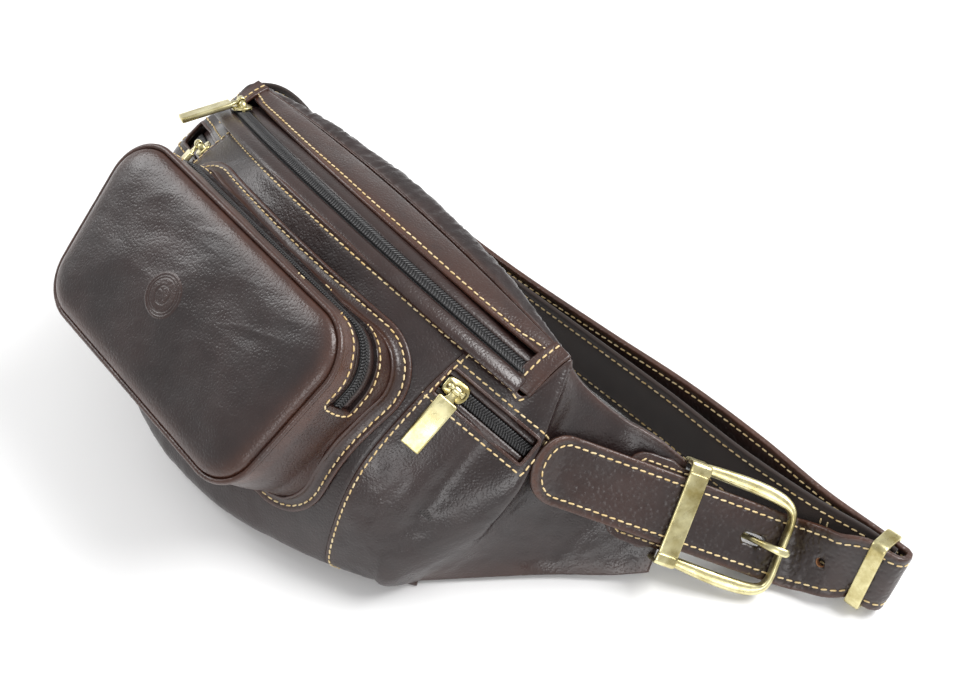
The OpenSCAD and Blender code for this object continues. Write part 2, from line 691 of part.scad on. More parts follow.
// The next hole along the belt: its place, and the direction of the strap's face there
next_hole = walk([on_strap(hole_at), for (i = [8 : 12]) tongue_stations[i][0]], hole_pitch);
next_hole_out = cross(next_hole[1], unit([-0.14, 0.5, 0.86]));
module tongue_strap() {
    color(leather) as_it_lies() difference() {
        strap(tongue_stations, strap_w, strap_t);
        on_buckle() hull() {
            for (x = [-4.5, 1.5]) translate([hole_at + x, 0, -6]) cylinder(h = 12, r = hole_r + 0.6);
        }
        translate(next_hole[0])
            rotate([0, acos(next_hole_out[2]), atan2(next_hole_out[1], next_hole_out[0])])
                cylinder(h = 12, r = hole_r, center = true);
    }
}
module back_strap() {
    color(suede) as_it_lies() strap(back_strap_stations, strap_w, back_strap_t);
}
module far_keeper() {
    color(brass) as_it_lies() translate([far_x - 2, far_mid_y, far_mid_z]) rotate([90 - far_lean_angle, 0, 9])
        difference() {
            cube([7, far_outer[0], far_outer[1]], center = true);
            cube([20, far_inner[0], far_inner[1]], center = true);
        }
}

front_panel();
side_panel_r();
side_panel_l();
back_panel();
top_band();
bottom_binding();
wing_lining_r();
wing_lining_l();
zip_end_r();
zip_end_l();
main_zip_tape();
main_zip_teeth();
main_slider();
main_pull();
pocket_front();
pocket_gusset();
pocket_flange();
pocket_piping();
pocket_zip_tape();
pocket_zip_teeth();
pocket_slider();
pocket_pull();
side_zip_tape_r();
side_zip_teeth_r();
side_slider_r();
side_pull_r();
side_zip_tape_l();
side_zip_teeth_l();
side_slider_l();
side_pull_l();
side_pouch_r();
side_pouch_l();
front_lining();
back_foam();
divider();
tab_right();
buckle_frame();
heel_bar();
prong();
tongue_strap();
back_strap();
far_keeper();
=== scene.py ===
from math import asin, cos, degrees, pi, radians, sin

import bmesh
import bpy
import numpy as np
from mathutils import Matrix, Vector, noise
from mathutils.bvhtree import BVHTree


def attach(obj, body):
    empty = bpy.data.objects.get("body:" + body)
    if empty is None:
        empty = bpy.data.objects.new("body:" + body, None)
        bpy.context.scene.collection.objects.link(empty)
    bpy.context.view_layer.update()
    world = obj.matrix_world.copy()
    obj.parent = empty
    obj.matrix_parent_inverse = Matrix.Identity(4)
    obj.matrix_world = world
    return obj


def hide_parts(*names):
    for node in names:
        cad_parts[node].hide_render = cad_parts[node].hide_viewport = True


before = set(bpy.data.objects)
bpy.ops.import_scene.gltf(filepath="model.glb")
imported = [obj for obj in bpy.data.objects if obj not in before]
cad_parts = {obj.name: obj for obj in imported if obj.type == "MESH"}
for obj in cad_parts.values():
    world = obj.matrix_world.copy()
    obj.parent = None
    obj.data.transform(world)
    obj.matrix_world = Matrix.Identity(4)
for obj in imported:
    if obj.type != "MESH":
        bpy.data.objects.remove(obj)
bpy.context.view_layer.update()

# Sizes are in millimetres, as in the CAD source. Meshes are turned into metres by make().
MM = 0.001
LEAN = radians(50.6)
BODY_HALF = 120.0
FRONT_H = 120.0
BACK_H = 147.0
BODY_DEPTH = 57.0
LEATHER = 2.2
GAP = 0.5
SEAM_X = 92.0
SEAM_R = 1.6
POCKET_HALF = 82.0
POCKET_H = 86.0
POCKET_Z = 13.0
POCKET_CORNER = 20.0
POCKET_TAPER = 5.0
POCKET_FOOT_Y = -51.0
FACE_Y = -90.0
POCKET_ZIP_Y = -70.0
BAR_H = 5.6
BAR_R = 0.9
PULL_LEN = 27.0
PULL_W = 10.0
STRAP_W = 32.0
STRAP_T = 3.0
BACK_STRAP_T = 2.6
HOLE_R = 2.2
HOLE_PITCH = 33.0
BUCKLE_LEN = 48.0
HEEL_R = 1.8
KEEPER_W = 9.5
KEEPER_T = 1.8
FAR_X = BODY_HALF + 134
ORIGIN = np.array([(FAR_X + 9.5 - BODY_HALF - 75.4) / 2, 68.3, 0.0])
THREAD_R = 0.42
STITCH_PITCH = 3.6


# ---------- small maths ----------
def vec(*v):
    return np.array(v, float)


def unit(v):
    v = np.asarray(v, float)
    return v / np.maximum(np.linalg.norm(v, axis=-1, keepdims=True), 1e-9)


def mix(a, b, t):
    return a + (b - a) * t


def smooth(lo, hi, v):
    t = np.clip((np.asarray(v, float) - lo) / (hi - lo), 0, 1)
    return t * t * (3 - 2 * t)


def stack(x, y, z):
    return np.stack(np.broadcast_arrays(x, y, z), -1).astype(float)


def lean_turn(v):
    """A direction in pack axes, as a direction on the table."""
    v = np.asarray(v, float)
    y, z = v[..., 1], v[..., 2]
    return stack(v[..., 0], y * cos(LEAN) + z * sin(LEAN), z * cos(LEAN) - y * sin(LEAN))


def unlean(v):
    v = np.asarray(v, float)
    y, z = v[..., 1], v[..., 2]
    return stack(v[..., 0], y * cos(LEAN) - z * sin(LEAN), y * sin(LEAN) + z * cos(LEAN))


def lean(p):
    """A point in pack axes, in the row frame."""
    return lean_turn(p) - ORIGIN


def lay(p):
    """A point on the table, in the row frame."""
    return np.asarray(p, float) - ORIGIN


def turn(p, axis, angle):
    p = np.asarray(p, float)
    c, s = cos(radians(angle)), sin(radians(angle))
    x, y, z = p[..., 0], p[..., 1], p[..., 2]
    if axis == "x":
        return stack(x, y * c - z * s, y * s + z * c)
    if axis == "y":
        return stack(x * c + z * s, y, z * c - x * s)
    return stack(x * c - y * s, x * s + y * c, z)


def weights(count, ts):
    """How much each of count points counts at each t of the smooth curve through them."""
    n = count - 1
    out = np.zeros((len(ts), count))
    for k, t in enumerate(ts):
        s = min(max(t, 0) * n, n - 1e-6)
        i = int(s)
        f = s - i
        for j, w in (
            (max(i - 1, 0), -f + 2 * f**2 - f**3),
            (i, 2 - 5 * f**2 + 3 * f**3),
            (i + 1, f + 4 * f**2 - 3 * f**3),
            (min(i + 2, n), f**3 - f**2),
        ):
            out[k, j] += w / 2
    return out


def curve_at(points, ts):
    points = np.asarray(points, float)
    return np.tensordot(weights(len(points), np.atleast_1d(ts)), points, 1)


def lumps(points, size, octaves=3, seed=0.0):
    """Smooth noise from about -1 to 1 at each point. size is the width of its lumps."""
    flat = np.asarray(points, float).reshape(-1, 3) / size + seed
    values = [noise.fractal(Vector(p), 1.0, 2.0, octaves) for p in flat]
    return np.array(values).reshape(np.shape(points)[:-1])


def grid_normals(g, wrap=False):
    if wrap:
        du = np.roll(g, -1, 0) - np.roll(g, 1, 0)
    else:
        du = np.gradient(g, axis=0)
    return unit(np.cross(du, np.gradient(g, axis=1)))


def resample(points, pitch, closed=False):
    """Evenly spaced points along a line of points, and the direction of the line at each."""
    p = np.asarray(points, float)
    if closed:
        p = np.vstack([p, p[:1]])
    step = np.linalg.norm(np.diff(p, axis=0), axis=1)
    run = np.concatenate([[0], np.cumsum(step)])
    n = max(int(round(run[-1] / pitch)), 2)
    at = (np.arange(n) + 0.5) * run[-1] / n
    spots = np.stack([np.interp(at, run, p[:, k]) for k in range(3)], 1)
    ahead = np.stack([np.interp(np.minimum(at + 0.5, run[-1]), run, p[:, k]) for k in range(3)], 1)
    behind = np.stack([np.interp(np.maximum(at - 0.5, 0), run, p[:, k]) for k in range(3)], 1)
    return spots, unit(ahead - behind), at / run[-1]


def dense(points, count, closed=False):
    """The same line with count evenly spaced points, ends included."""
    p = np.asarray(points, float)
    if closed:
        p = np.vstack([p, p[:1]])
    run = np.concatenate([[0], np.cumsum(np.linalg.norm(np.diff(p, axis=0), axis=1))])
    at = np.linspace(0, run[-1], count, endpoint=not closed)
    return np.stack([np.interp(at, run, p[:, k]) for k in range(p.shape[1])], 1)


# ---------- meshes ----------
def grid_faces(n, m, wrap_n=False, wrap_m=False, base=0):
    i, j = np.meshgrid(np.arange(n if wrap_n else n - 1), np.arange(m if wrap_m else m - 1),
                       indexing="ij")
    a = i * m + j
    b = i * m + (j + 1) % m
    c = ((i + 1) % n) * m + (j + 1) % m
    d = ((i + 1) % n) * m + j
    return (np.stack([a, b, c, d], -1).reshape(-1, 4) + base).tolist()


class Shape:
    """Points and faces that are gathered before they become one mesh."""

    def __init__(self):
        self.points, self.faces, self.warm, self.count = [], [], [], 0

    def add(self, points, faces, warm=0.0):
        points = np.asarray(points, float).reshape(-1, 3)
        self.points.append(points)
        self.faces += [[k + self.count for k in f] for f in faces]
        self.warm.append(np.broadcast_to(np.asarray(warm, float).ravel(), len(points))
                         if np.size(warm) in (1, len(points)) else np.zeros(len(points)))
        self.count += len(points)
        return self

    def mirrored(self):
        """The same shape for the pack's other side."""
        other = Shape()
        points = self.all_points()
        points[:, 0] = -(points[:, 0] + ORIGIN[0]) - ORIGIN[0]
        return other.add(points, [f[::-1] for f in self.faces], np.concatenate(self.warm))

    def all_points(self):
        return np.concatenate(self.points).copy()

    def tree(self):
        return BVHTree.FromPolygons([tuple(p) for p in self.all_points()], self.faces)


def sheet(grid, thickness, warm=0.0, out=None, wrap=False, shape=None):
    """A closed sheet with rounded edges, whose outer face is the grid."""
    shape = shape or Shape()
    n, m = grid.shape[:2]
    normal = grid_normals(grid, wrap) if out is None else out
    inner = grid - normal * thickness
    warm = np.broadcast_to(warm, (n, m))
    points = [grid.reshape(-1, 3), inner.reshape(-1, 3)]
    k = n * m
    faces = grid_faces(n, m, wrap) + [f[::-1] for f in grid_faces(n, m, wrap, base=k)]
    if wrap:
        edges = [([i * m for i in range(n)], [i * m + 1 for i in range(n)], True),
                 ([i * m + m - 1 for i in range(n)], [i * m + m - 2 for i in range(n)], True)]
    else:
        ring = ([j for j in range(m)] + [i * m + m - 1 for i in range(1, n)]
                + [(n - 1) * m + j for j in range(m - 2, -1, -1)]
                + [i * m for i in range(n - 2, 0, -1)])
        inside = []
        for v in ring:
            i, j = divmod(v, m)
            inside.append(min(max(i, 1), n - 2) * m + min(max(j, 1), m - 2))
        edges = [(ring, inside, True)]
    base = 2 * k
    flat = grid.reshape(-1, 3)
    flat_inner = inner.reshape(-1, 3)
    for ring, inside, closed in edges:
        away = unit(flat[ring] - flat[inside])
        middle = (flat[ring] + flat_inner[ring]) / 2 + away * thickness * 0.3
        points.append(middle)
        c = len(ring)
        for q in range(c if closed else c - 1):
            r = (q + 1) % c
            faces.append([ring[q], ring[r], base + r, base + q])
            faces.append([base + q, base + r, k + ring[r], k + ring[q]])
        base += c
    points = np.concatenate(points)
    extra = len(points) - 2 * k
    shape.add(points, faces, np.concatenate([warm.ravel(), warm.ravel(), np.full(extra, 0.8)]))
    return shape


def frames_along(points, up, closed=False):
    """For each point of a line: the line's direction, the direction across and the normal."""
    p = np.asarray(points, float)
    if closed:
        along = unit(np.roll(p, -1, 0) - np.roll(p, 1, 0))
    else:
        along = unit(np.gradient(p, axis=0))
    up = np.broadcast_to(up, p.shape)
    across = unit(np.cross(up, along))
    return along, across, unit(np.cross(along, across))


def sweep(points, across, normal, profile, shape=None, caps=True, closed=False, warm=0.0):
    """A bar with a closed outline of (across, normal) points, along a line."""
    shape = shape or Shape()
    profile = np.asarray(profile, float)
    if profile.ndim == 2:
        profile = np.broadcast_to(profile, (len(points),) + profile.shape)
    grid = (points[:, None] + across[:, None] * profile[..., :1]
            + normal[:, None] * profile[..., 1:])
    n, m = grid.shape[:2]
    faces = grid_faces(n, m, wrap_n=closed, wrap_m=True)
    if caps and not closed:
        faces += [list(range(m)), list(range((n - 1) * m, n * m))[::-1]]
    return shape.add(grid, faces, warm)


def ring(a, b, sides=12, power=1.0):
    """An outline like a circle, a across and b high. A power under 1 makes it squarer."""
    t = np.arange(sides) * 2 * pi / sides
    c, s = np.cos(t), np.sin(t)
    return np.stack([a * np.sign(c) * np.abs(c) ** power, b * np.sign(s) * np.abs(s) ** power], 1)


def tube(points, radius, sides=10, up=(0, 0, 1), shape=None, closed=False, ends=True):
    """A round bar along a line. Its ends are domed."""
    points = np.asarray(points, float)
    radius = np.broadcast_to(radius, len(points)).astype(float)
    if ends and not closed:
        a, b = unit(points[0] - points[1]), unit(points[-1] - points[-2])
        r0, r1 = radius[0], radius[-1]
        points = np.vstack([points[0] + a * r0, points[0] + a * r0 * 0.7, points,
                            points[-1] + b * r1 * 0.7, points[-1] + b * r1])
        radius = np.concatenate([[r0 * 0.12, r0 * 0.72], radius, [r1 * 0.72, r1 * 0.12]])
    _, across, normal = frames_along(points, up, closed)
    profile = ring(1, 1, sides)[None] * radius[:, None, None]
    return sweep(points, across, normal, profile, shape, closed=closed)


def plate(size, bevel, segments=3, crown=0.0):
    """A block with rounded edges, about the origin. crown lifts the middle of its top."""
    bm = bmesh.new()
    bmesh.ops.create_cube(bm, size=1.0)
    for v in bm.verts:
        v.co = Vector([v.co[k] * size[k] for k in range(3)])
    if crown:
        edges = [e for e in bm.edges if abs(e.verts[0].co.y - e.verts[1].co.y) < 1e-6
                 and abs(e.verts[0].co.z - e.verts[1].co.z) < 1e-6]
        bmesh.ops.subdivide_edges(bm, edges=edges, cuts=6, use_grid_fill=True)
        for v in bm.verts:
            if v.co.z > 0:
                v.co.z += crown * (1 - (2 * v.co.x / size[0]) ** 2)
    sharp = [e for e in bm.edges if e.calc_face_angle(0) > 0.8]
    bmesh.ops.bevel(bm, geom=sharp, offset=bevel, segments=segments, affect="EDGES",
                    profile=0.5, clamp_overlap=True)
    points = np.array([v.co[:] for v in bm.verts])
    faces = [[v.index for v in f.verts] for f in bm.faces]
    bm.free()
    return points, faces


CAPSULE_RINGS = ((-0.5, 0.15), (-0.44, 0.66), (-0.3, 1.0), (0.3, 1.0), (0.44, 0.66), (0.5, 0.15))
CAPSULE_SIDES = 7


def capsules(centres, along, up, length, radius, flat=1.0, shape=None, warm=0.0):
    """One small rounded bar at each centre."""
    shape = shape or Shape()
    t = np.arange(CAPSULE_SIDES) * 2 * pi / CAPSULE_SIDES
    unit_points = np.array([[x, r * cos(a), r * sin(a)] for x, r in CAPSULE_RINGS for a in t])
    along = unit(along)
    side = unit(np.cross(up, along))
    top = unit(np.cross(along, side))
    length = np.broadcast_to(length, len(centres))[:, None, None]
    x = unit_points[None, :, :1] * length
    y = unit_points[None, :, 1:2] * radius
    z = unit_points[None, :, 2:] * radius * flat
    points = centres[:, None] + along[:, None] * x + side[:, None] * y + top[:, None] * z
    rings = len(CAPSULE_RINGS)
    one = grid_faces(rings, CAPSULE_SIDES, wrap_m=True)
    one += [list(range(CAPSULE_SIDES)),
            [(rings - 1) * CAPSULE_SIDES + k for k in range(CAPSULE_SIDES)][::-1]]
    size = rings * CAPSULE_SIDES
    faces = [[k + c * size for k in f] for c in range(len(centres)) for f in one]
    return shape.add(points, faces, warm)


def stitches(points, normals, shape, closed=False, pitch=STITCH_PITCH, lift=0.16):
    """A row of thread stitches along a line that lies on a surface."""
    spots, along, at = resample(points, pitch, closed)
    source = np.asarray(points, float)
    normals = np.broadcast_to(normals, source.shape)
    nearest = np.argmin(((spots[:, None] - source[None]) ** 2).sum(-1), 1)
    up = normals[nearest]
    side = unit(np.cross(up, along))
    wander = np.sin(np.arange(len(spots)) * 2.39) * 0.06
    along = unit(along + side * (0.09 + wander[:, None]))
    return capsules(spots + up * lift, along, up, pitch * 0.74, THREAD_R, 0.85, shape)


def on_surface(tree, points, direction):
    """Where lines through the points, in one direction, first meet a surface from outside."""
    direction = Vector(direction).normalized()
    spots, normals = [], []
    for p in np.asarray(points, float):
        hit = tree.ray_cast(Vector(p) - direction * 70, direction)
        if hit[0] is None:
            hit = tree.find_nearest(Vector(p))
        n = hit[1] if hit[1].dot(direction) < 0 else -hit[1]
        spots.append(hit[0][:])
        normals.append(n[:])
    return np.array(spots), unit(np.array(normals))


def make(name, shape, material, nodes=(), body="pack", sharp=None):
    """The finished piece: a mesh in metres that rides on its CAD body."""
    mesh = bpy.data.meshes.new(name)
    points = shape.all_points() * MM
    mesh.from_pydata(points.tolist(), [], shape.faces)
    mesh.update()
    warm = mesh.attributes.new("warm", "FLOAT", "POINT")
    warm.data.foreach_set("value", np.concatenate(shape.warm).astype(np.float32))
    bm = bmesh.new()
    bm.from_mesh(mesh)
    bmesh.ops.recalc_face_normals(bm, faces=bm.faces)
    bm.to_mesh(mesh)
    bm.free()
    mesh.shade_smooth()
    if sharp:
        mesh.set_sharp_from_angle(angle=radians(sharp))
    mesh.materials.append(material)
    obj = bpy.data.objects.new(name, mesh)
    bpy.context.scene.collection.objects.link(obj)
    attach(obj, body)
    if nodes:
        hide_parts(*nodes)
    return obj


def cut(obj, cutter):
    """Takes the shape cutter out of a piece."""
    mesh = bpy.data.meshes.new("cutter")
    mesh.from_pydata((cutter.all_points() * MM).tolist(), [], cutter.faces)
    bm = bmesh.new()
    bm.from_mesh(mesh)
    bmesh.ops.recalc_face_normals(bm, faces=bm.faces)
    bm.to_mesh(mesh)
    bm.free()
    tool = bpy.data.objects.new("cutter", mesh)
    bpy.context.scene.collection.objects.link(tool)
    change = obj.modifiers.new("cut", "BOOLEAN")
    change.operation = "DIFFERENCE"
    change.solver = "MANIFOLD"
    change.object = tool
    bpy.context.view_layer.update()
    done = bpy.data.meshes.new_from_object(obj.evaluated_get(bpy.context.evaluated_depsgraph_get()))
    obj.modifiers.remove(change)
    obj.data = done
    bpy.data.objects.remove(tool)
    return obj


# ---------- materials ----------
class Paint:
    """A material with a Principled shader, and short ways to add nodes to it."""

    def __init__(self, name):
        self.material = bpy.data.materials.new(name)
        self.material.use_nodes = True
        self.tree = self.material.node_tree
        self.shader = self.tree.nodes["Principled BSDF"]
        self.place = self.add("ShaderNodeTexCoord").outputs["Object"]

    def add(self, kind, **values):
        node = self.tree.nodes.new(kind)
        for key, value in values.items():
            if hasattr(node, key):
                setattr(node, key, value)
            else:
                self.put(node.inputs[key.replace("_", " ")], value)
        return node

    def put(self, socket, value):
        if isinstance(value, bpy.types.NodeSocket):
            self.tree.links.new(value, socket)
        else:
            socket.default_value = value

    def set(self, **values):
        for key, value in values.items():
            self.put(self.shader.inputs[key.replace("_", " ")], value)

    def noise(self, scale, detail=3.0, rough=0.55, stretch=None, distort=0.0):
        return self.add("ShaderNodeTexNoise", Vector=self.stretched(stretch), Scale=scale,
                        Detail=detail, Roughness=rough, Distortion=distort).outputs["Fac"]

    def cells(self, scale, feature="F1", stretch=None, random=1.0):
        return self.add("ShaderNodeTexVoronoi", feature=feature, Vector=self.stretched(stretch),
                        Scale=scale, Randomness=random).outputs["Distance"]

    def stretched(self, stretch):
        if stretch is None:
            return self.place
        return self.add("ShaderNodeMapping", Vector=self.place, Scale=stretch).outputs[0]

    def span(self, value, low, high, to_low=0.0, to_high=1.0):
        node = self.add("ShaderNodeMapRange")
        for k, v in enumerate((value, low, high, to_low, to_high)):
            self.put(node.inputs[k], v)
        return node.outputs[0]

    def maths(self, kind, a, b):
        node = self.add("ShaderNodeMath", operation=kind)
        self.put(node.inputs[0], a)
        self.put(node.inputs[1], b)
        return node.outputs[0]

    def blend(self, factor, a, b, kind="MIX"):
        node = self.add("ShaderNodeMix", data_type="RGBA", blend_type=kind)
        self.put(node.inputs[0], factor)
        self.put(node.inputs[6], a)
        self.put(node.inputs[7], b)
        return node.outputs[2]

    def bump(self, height, distance, strength=1.0, normal=None):
        node = self.add("ShaderNodeBump", Height=height, Distance=distance * MM,
                        Strength=strength)
        if normal is not None:
            self.put(node.inputs["Normal"], normal)
        return node.outputs[0]

    def attribute(self, name="warm"):
        return self.add("ShaderNodeAttribute", attribute_name=name).outputs["Fac"]


def colour(r, g, b):
    return (r, g, b, 1.0)


def leather_paint(name, grain, pebble, dark, mid, warm, rough):
    """Dyed leather: cloudy colour, a burnished tone near edges, painted shade in the pores, and pores and fine
    creases in the bump.
    """
    p = Paint(name)
    clouds = p.span(p.noise(26, 4, 0.6), 0.38, 0.66)
    base = p.blend(clouds, dark, mid)
    glow = p.maths("MULTIPLY", p.attribute(), p.span(p.noise(60, 3), 0.3, 0.6, 0.45, 1.0))
    base = p.blend(glow, base, warm)
    fine = p.cells(grain, "SMOOTH_F1")
    creases = p.noise(grain * 0.16, 5, 0.62, (1, 1.6, 1), 1.2)
    pits = p.span(fine, 0.05, 0.5)
    # Painted shade: the colour darkens towards near-black in the grain's pores, where the bump is lowest.
    base = p.blend(p.span(pits, 0, 0.5, 0.35, 0.0), base, colour(0.012, 0.007, 0.006))
    p.set(Base_Color=base, Roughness=p.span(p.noise(90, 4), 0.3, 0.7, rough - 0.07, rough + 0.1))
    coarse = p.bump(creases, pebble * 1.3, 0.5)
    p.set(Normal=p.bump(pits, pebble, 0.55, coarse))
    p.set(Specular_IOR_Level=0.55, Coat_Weight=0.18, Coat_Roughness=0.32)
    return p.material


leather = leather_paint("leather", 900, 0.17, colour(0.0125, 0.0066, 0.0064),
                        colour(0.0225, 0.0110, 0.0100), colour(0.066, 0.023, 0.0125), 0.33)
grained = leather_paint("grained_leather", 480, 0.46, colour(0.016, 0.0078, 0.0066),
                        colour(0.029, 0.0125, 0.0096), colour(0.078, 0.028, 0.014), 0.37)


def suede_paint():
    p = Paint("suede")
    nap = p.noise(2600, 4, 0.7)
    base = p.blend(p.span(p.noise(45, 4), 0.35, 0.65), colour(0.013, 0.0078, 0.0066),
                   colour(0.023, 0.0135, 0.0108))
    base = p.blend(p.span(nap, 0.35, 0.75, 0, 0.4), base, colour(0.040, 0.026, 0.021))
    p.set(Base_Color=base, Roughness=p.span(nap, 0, 1, 0.72, 0.95), Normal=p.bump(nap, 0.22, 0.6))
    p.set(Sheen_Weight=0.25, Sheen_Roughness=0.5, Specular_IOR_Level=0.25)
    return p.material


def thread_paint():
    p = Paint("thread")
    twist = p.add("ShaderNodeTexWave", Vector=p.place, Scale=900, Distortion=1.5,
                  bands_direction="DIAGONAL").outputs["Fac"]
    base = p.blend(p.span(p.noise(140, 3), 0.3, 0.7), colour(0.62, 0.43, 0.17),
                   colour(0.86, 0.72, 0.44))
    # Painted shade: the colour darkens in the grooves of the twist, where the bump is lowest.
    base = p.blend(p.span(twist, 0, 1, 0.3, 0.0), base, colour(0.33, 0.20, 0.07))
    p.set(Base_Color=base, Roughness=p.span(twist, 0, 1, 0.55, 0.75), Normal=p.bump(twist, 0.1, 0.5))
    return p.material


def brass_paint():
    """Antique brass: pale where it is rubbed, olive brown where it isn't, lightly brushed."""
    p = Paint("brass")
    blotch = p.noise(75, 5, 0.6)
    brushed = p.noise(420, 4, 0.6, (1, 0.12, 1))
    base = p.blend(p.span(blotch, 0.34, 0.62), colour(0.40, 0.33, 0.13), colour(0.80, 0.74, 0.43))
    tarnish = p.maths("MULTIPLY", p.attribute(), p.span(p.noise(160, 4), 0.3, 0.65, 0.35, 1.0))
    base = p.blend(tarnish, base, colour(0.10, 0.08, 0.03))
    p.set(Base_Color=base, Metallic=1.0,
          Roughness=p.span(brushed, 0.25, 0.75, 0.22, 0.40), Normal=p.bump(brushed, 0.06, 0.35))
    return p.material


def nylon_paint():
    p = Paint("nylon")
    fine = p.noise(1500, 3)
    p.set(Base_Color=p.blend(fine, colour(0.012, 0.012, 0.013), colour(0.034, 0.033, 0.034)),
          Roughness=p.span(fine, 0.2, 0.8, 0.28, 0.5), Normal=p.bump(fine, 0.05, 0.4))
    return p.material


def woven_paint(name, dark, light):
    p = Paint(name)
    warp = p.add("ShaderNodeTexWave", Vector=p.place, Scale=420, bands_direction="X").outputs[1]
    weft = p.add("ShaderNodeTexWave", Vector=p.place, Scale=420, bands_direction="Z").outputs[1]
    weave = p.maths("MAXIMUM", warp, weft)
    base = p.blend(p.span(weave, 0.3, 1.0), dark, light)
    p.set(Base_Color=base, Roughness=p.span(p.noise(300), 0.3, 0.7, 0.75, 0.95),
          Normal=p.bump(weave, 0.15, 0.7))
    p.set(Sheen_Weight=0.15)
    return p.material


def raw_edge_paint():
    """The cut edge of the leather."""
    p = Paint("raw_edge")
    fibre = p.noise(900, 5, 0.7)
    p.set(Base_Color=p.blend(p.span(fibre, 0.3, 0.7), colour(0.16, 0.065, 0.025),
                             colour(0.42, 0.20, 0.085)),
          Roughness=p.span(fibre, 0, 1, 0.65, 0.9), Normal=p.bump(fibre, 0.15, 0.7))
    return p.material


suede = suede_paint()
thread = thread_paint()
brass = brass_paint()
nylon = nylon_paint()
tape_cloth = woven_paint("tape_cloth", colour(0.008, 0.008, 0.009), colour(0.026, 0.025, 0.026))
lining_cloth = woven_paint("lining_cloth", colour(0.014, 0.012, 0.012), colour(0.05, 0.044, 0.042))
raw_edge = raw_edge_paint()

# ---------- floor, light and camera ----------
def plain(name, tone, rough):
    p = Paint(name)
    tint = p.span(p.noise(3, 2), 0.2, 0.8, 0.985, 1.0)
    p.set(Base_Color=p.blend(tint, colour(tone * 0.97, tone * 0.97, tone * 0.97),
                             colour(tone, tone, tone)), Roughness=rough)
    return p.material


def build_floor():
    mesh = bpy.data.meshes.new("floor")
    half = 4.0
    rows = np.linspace(-half, half, 5)
    points = [(x, y, 0.0) for x in rows for y in rows]
    mesh.from_pydata(points, [], grid_faces(5, 5))
    mesh.materials.append(plain("floor_white", 0.93, 0.6))
    obj = bpy.data.objects.new("floor", mesh)
    bpy.context.scene.collection.objects.link(obj)


def softbox(name, place, target, size, power, tone=(1, 1, 1)):
    light = bpy.data.lights.new(name, "AREA")
    light.shape = "RECTANGLE"
    light.size, light.size_y = size
    light.energy = power
    light.color = tone
    obj = bpy.data.objects.new(name, light)
    obj.location = place
    obj.rotation_euler = (Vector(target) - Vector(place)).to_track_quat("-Z", "Y").to_euler()
    bpy.context.scene.collection.objects.link(obj)


def build_stage():
    scene = bpy.context.scene
    build_floor()
    world = bpy.data.worlds.new("studio")
    world.use_nodes = True
    world.node_tree.nodes["Background"].inputs[0].default_value = (1, 1, 1, 1)
    world.node_tree.nodes["Background"].inputs[1].default_value = 0.62
    scene.world = world
    middle = (0.0, -0.02, 0.05)
    softbox("key", (0.55, 0.75, 1.15), middle, (0.9, 0.6), 21)
    softbox("side", (-0.95, -0.35, 0.85), middle, (0.5, 0.9), 7)
    softbox("front", (0.9, -0.9, 0.7), middle, (0.7, 0.5), 5)
    camera = bpy.data.cameras.new("camera")
    camera.sensor_width = 36
    camera.lens = 55.666
    obj = bpy.data.objects.new("camera", camera)
    obj.location = (0.39125, -0.2612, 0.5836)
    obj.rotation_euler = (radians(90 - 48.769), 0, radians(50.731))
    scene.collection.objects.link(obj)
    scene.camera = obj
    scene.view_settings.view_transform = "Standard"


build_stage()


# ---------- the pack's surfaces ----------
def reach(x):
    return np.abs(x) / BODY_HALF


def front_top(x):
    r = reach(x)
    return stack(x, -BODY_DEPTH + 42 * r**2, FRONT_H - 4 * r**2)


def zip_back(x):
    r = reach(x)
    return stack(x, -BODY_DEPTH + 19.7 + 28 * r**2, FRONT_H + 16 - 3 * r**2)


def back_top(x):
    r = reach(x)
    return stack(x, -15 + 7 * r**2, BACK_H - 7 * r**2)


def bottom_table(x):
    return stack(x, -28 + 45 * reach(x) ** 2, SEAM_R)


def front_grid(xs, ts):
    """The front's surface in the row frame, xs across and ts from the zip down to the bottom."""
    r = reach(xs)
    knots = np.stack([
        front_top(xs),
        stack(xs, POCKET_FOOT_Y - 3 + 37 * r**4, FRONT_H - 30),
        stack(xs, POCKET_FOOT_Y + 32 * r**6, 45),
        stack(xs, -38 + 26 * r**2, -14 + 27 * r**2),
        unlean(bottom_table(xs)),
    ])
    return lean(np.swapaxes(curve_at(knots, ts), 0, 1))


def back_grid(xs, ts):
    r = reach(xs)
    knots = np.stack([
        back_top(xs),
        stack(xs, 2 - 5 * r**2, BACK_H + 3 - 14 * r**2),
        stack(xs, 12 - 9 * r**2, 95),
        stack(xs, 6 - 2 * r**2, 36),
        unlean(bottom_table(xs)),
    ])
    return lean(np.swapaxes(curve_at(knots, ts), 0, 1))


# Edges of the wing on the table, as x beyond the wing seam, y and z, and the wing's bulge
WING_TOP = [[0.8, 103, 95], [8, 107, 81], [21, 117, 64], [37, 126, 56], [50, 133, 46]]
WING_LOW = [[0.8, 17, 2], [16, 38, 2.4], [37, 66, 3.2], [54, 85, 4.8], [65, 98, 7.8]]
WING_BULGE = [[21, 0, 0], [9, 0, 0], [2, 0, 0], [0.6, 0, 0], [0.3, 0, 0]]


def wing_row(w, cols, bulged=True):
    def at(edge, t):
        return curve_at(edge, [min(max(t, 0), 1)])[0] + vec(BODY_HALF, 0, 0)

    top, low = at(WING_TOP, w), at(WING_LOW, w)
    out = unit(np.cross(at(WING_TOP, w + 0.05) - at(WING_TOP, w - 0.05), top - low))
    bulge = curve_at(WING_BULGE, [w])[0][0] if bulged else 0.0
    s = np.linspace(0, 1, cols + 1)[:, None]
    return lay(mix(top, low, mix(0.01, 0.99, s)) + out * bulge * np.sin(pi * s))


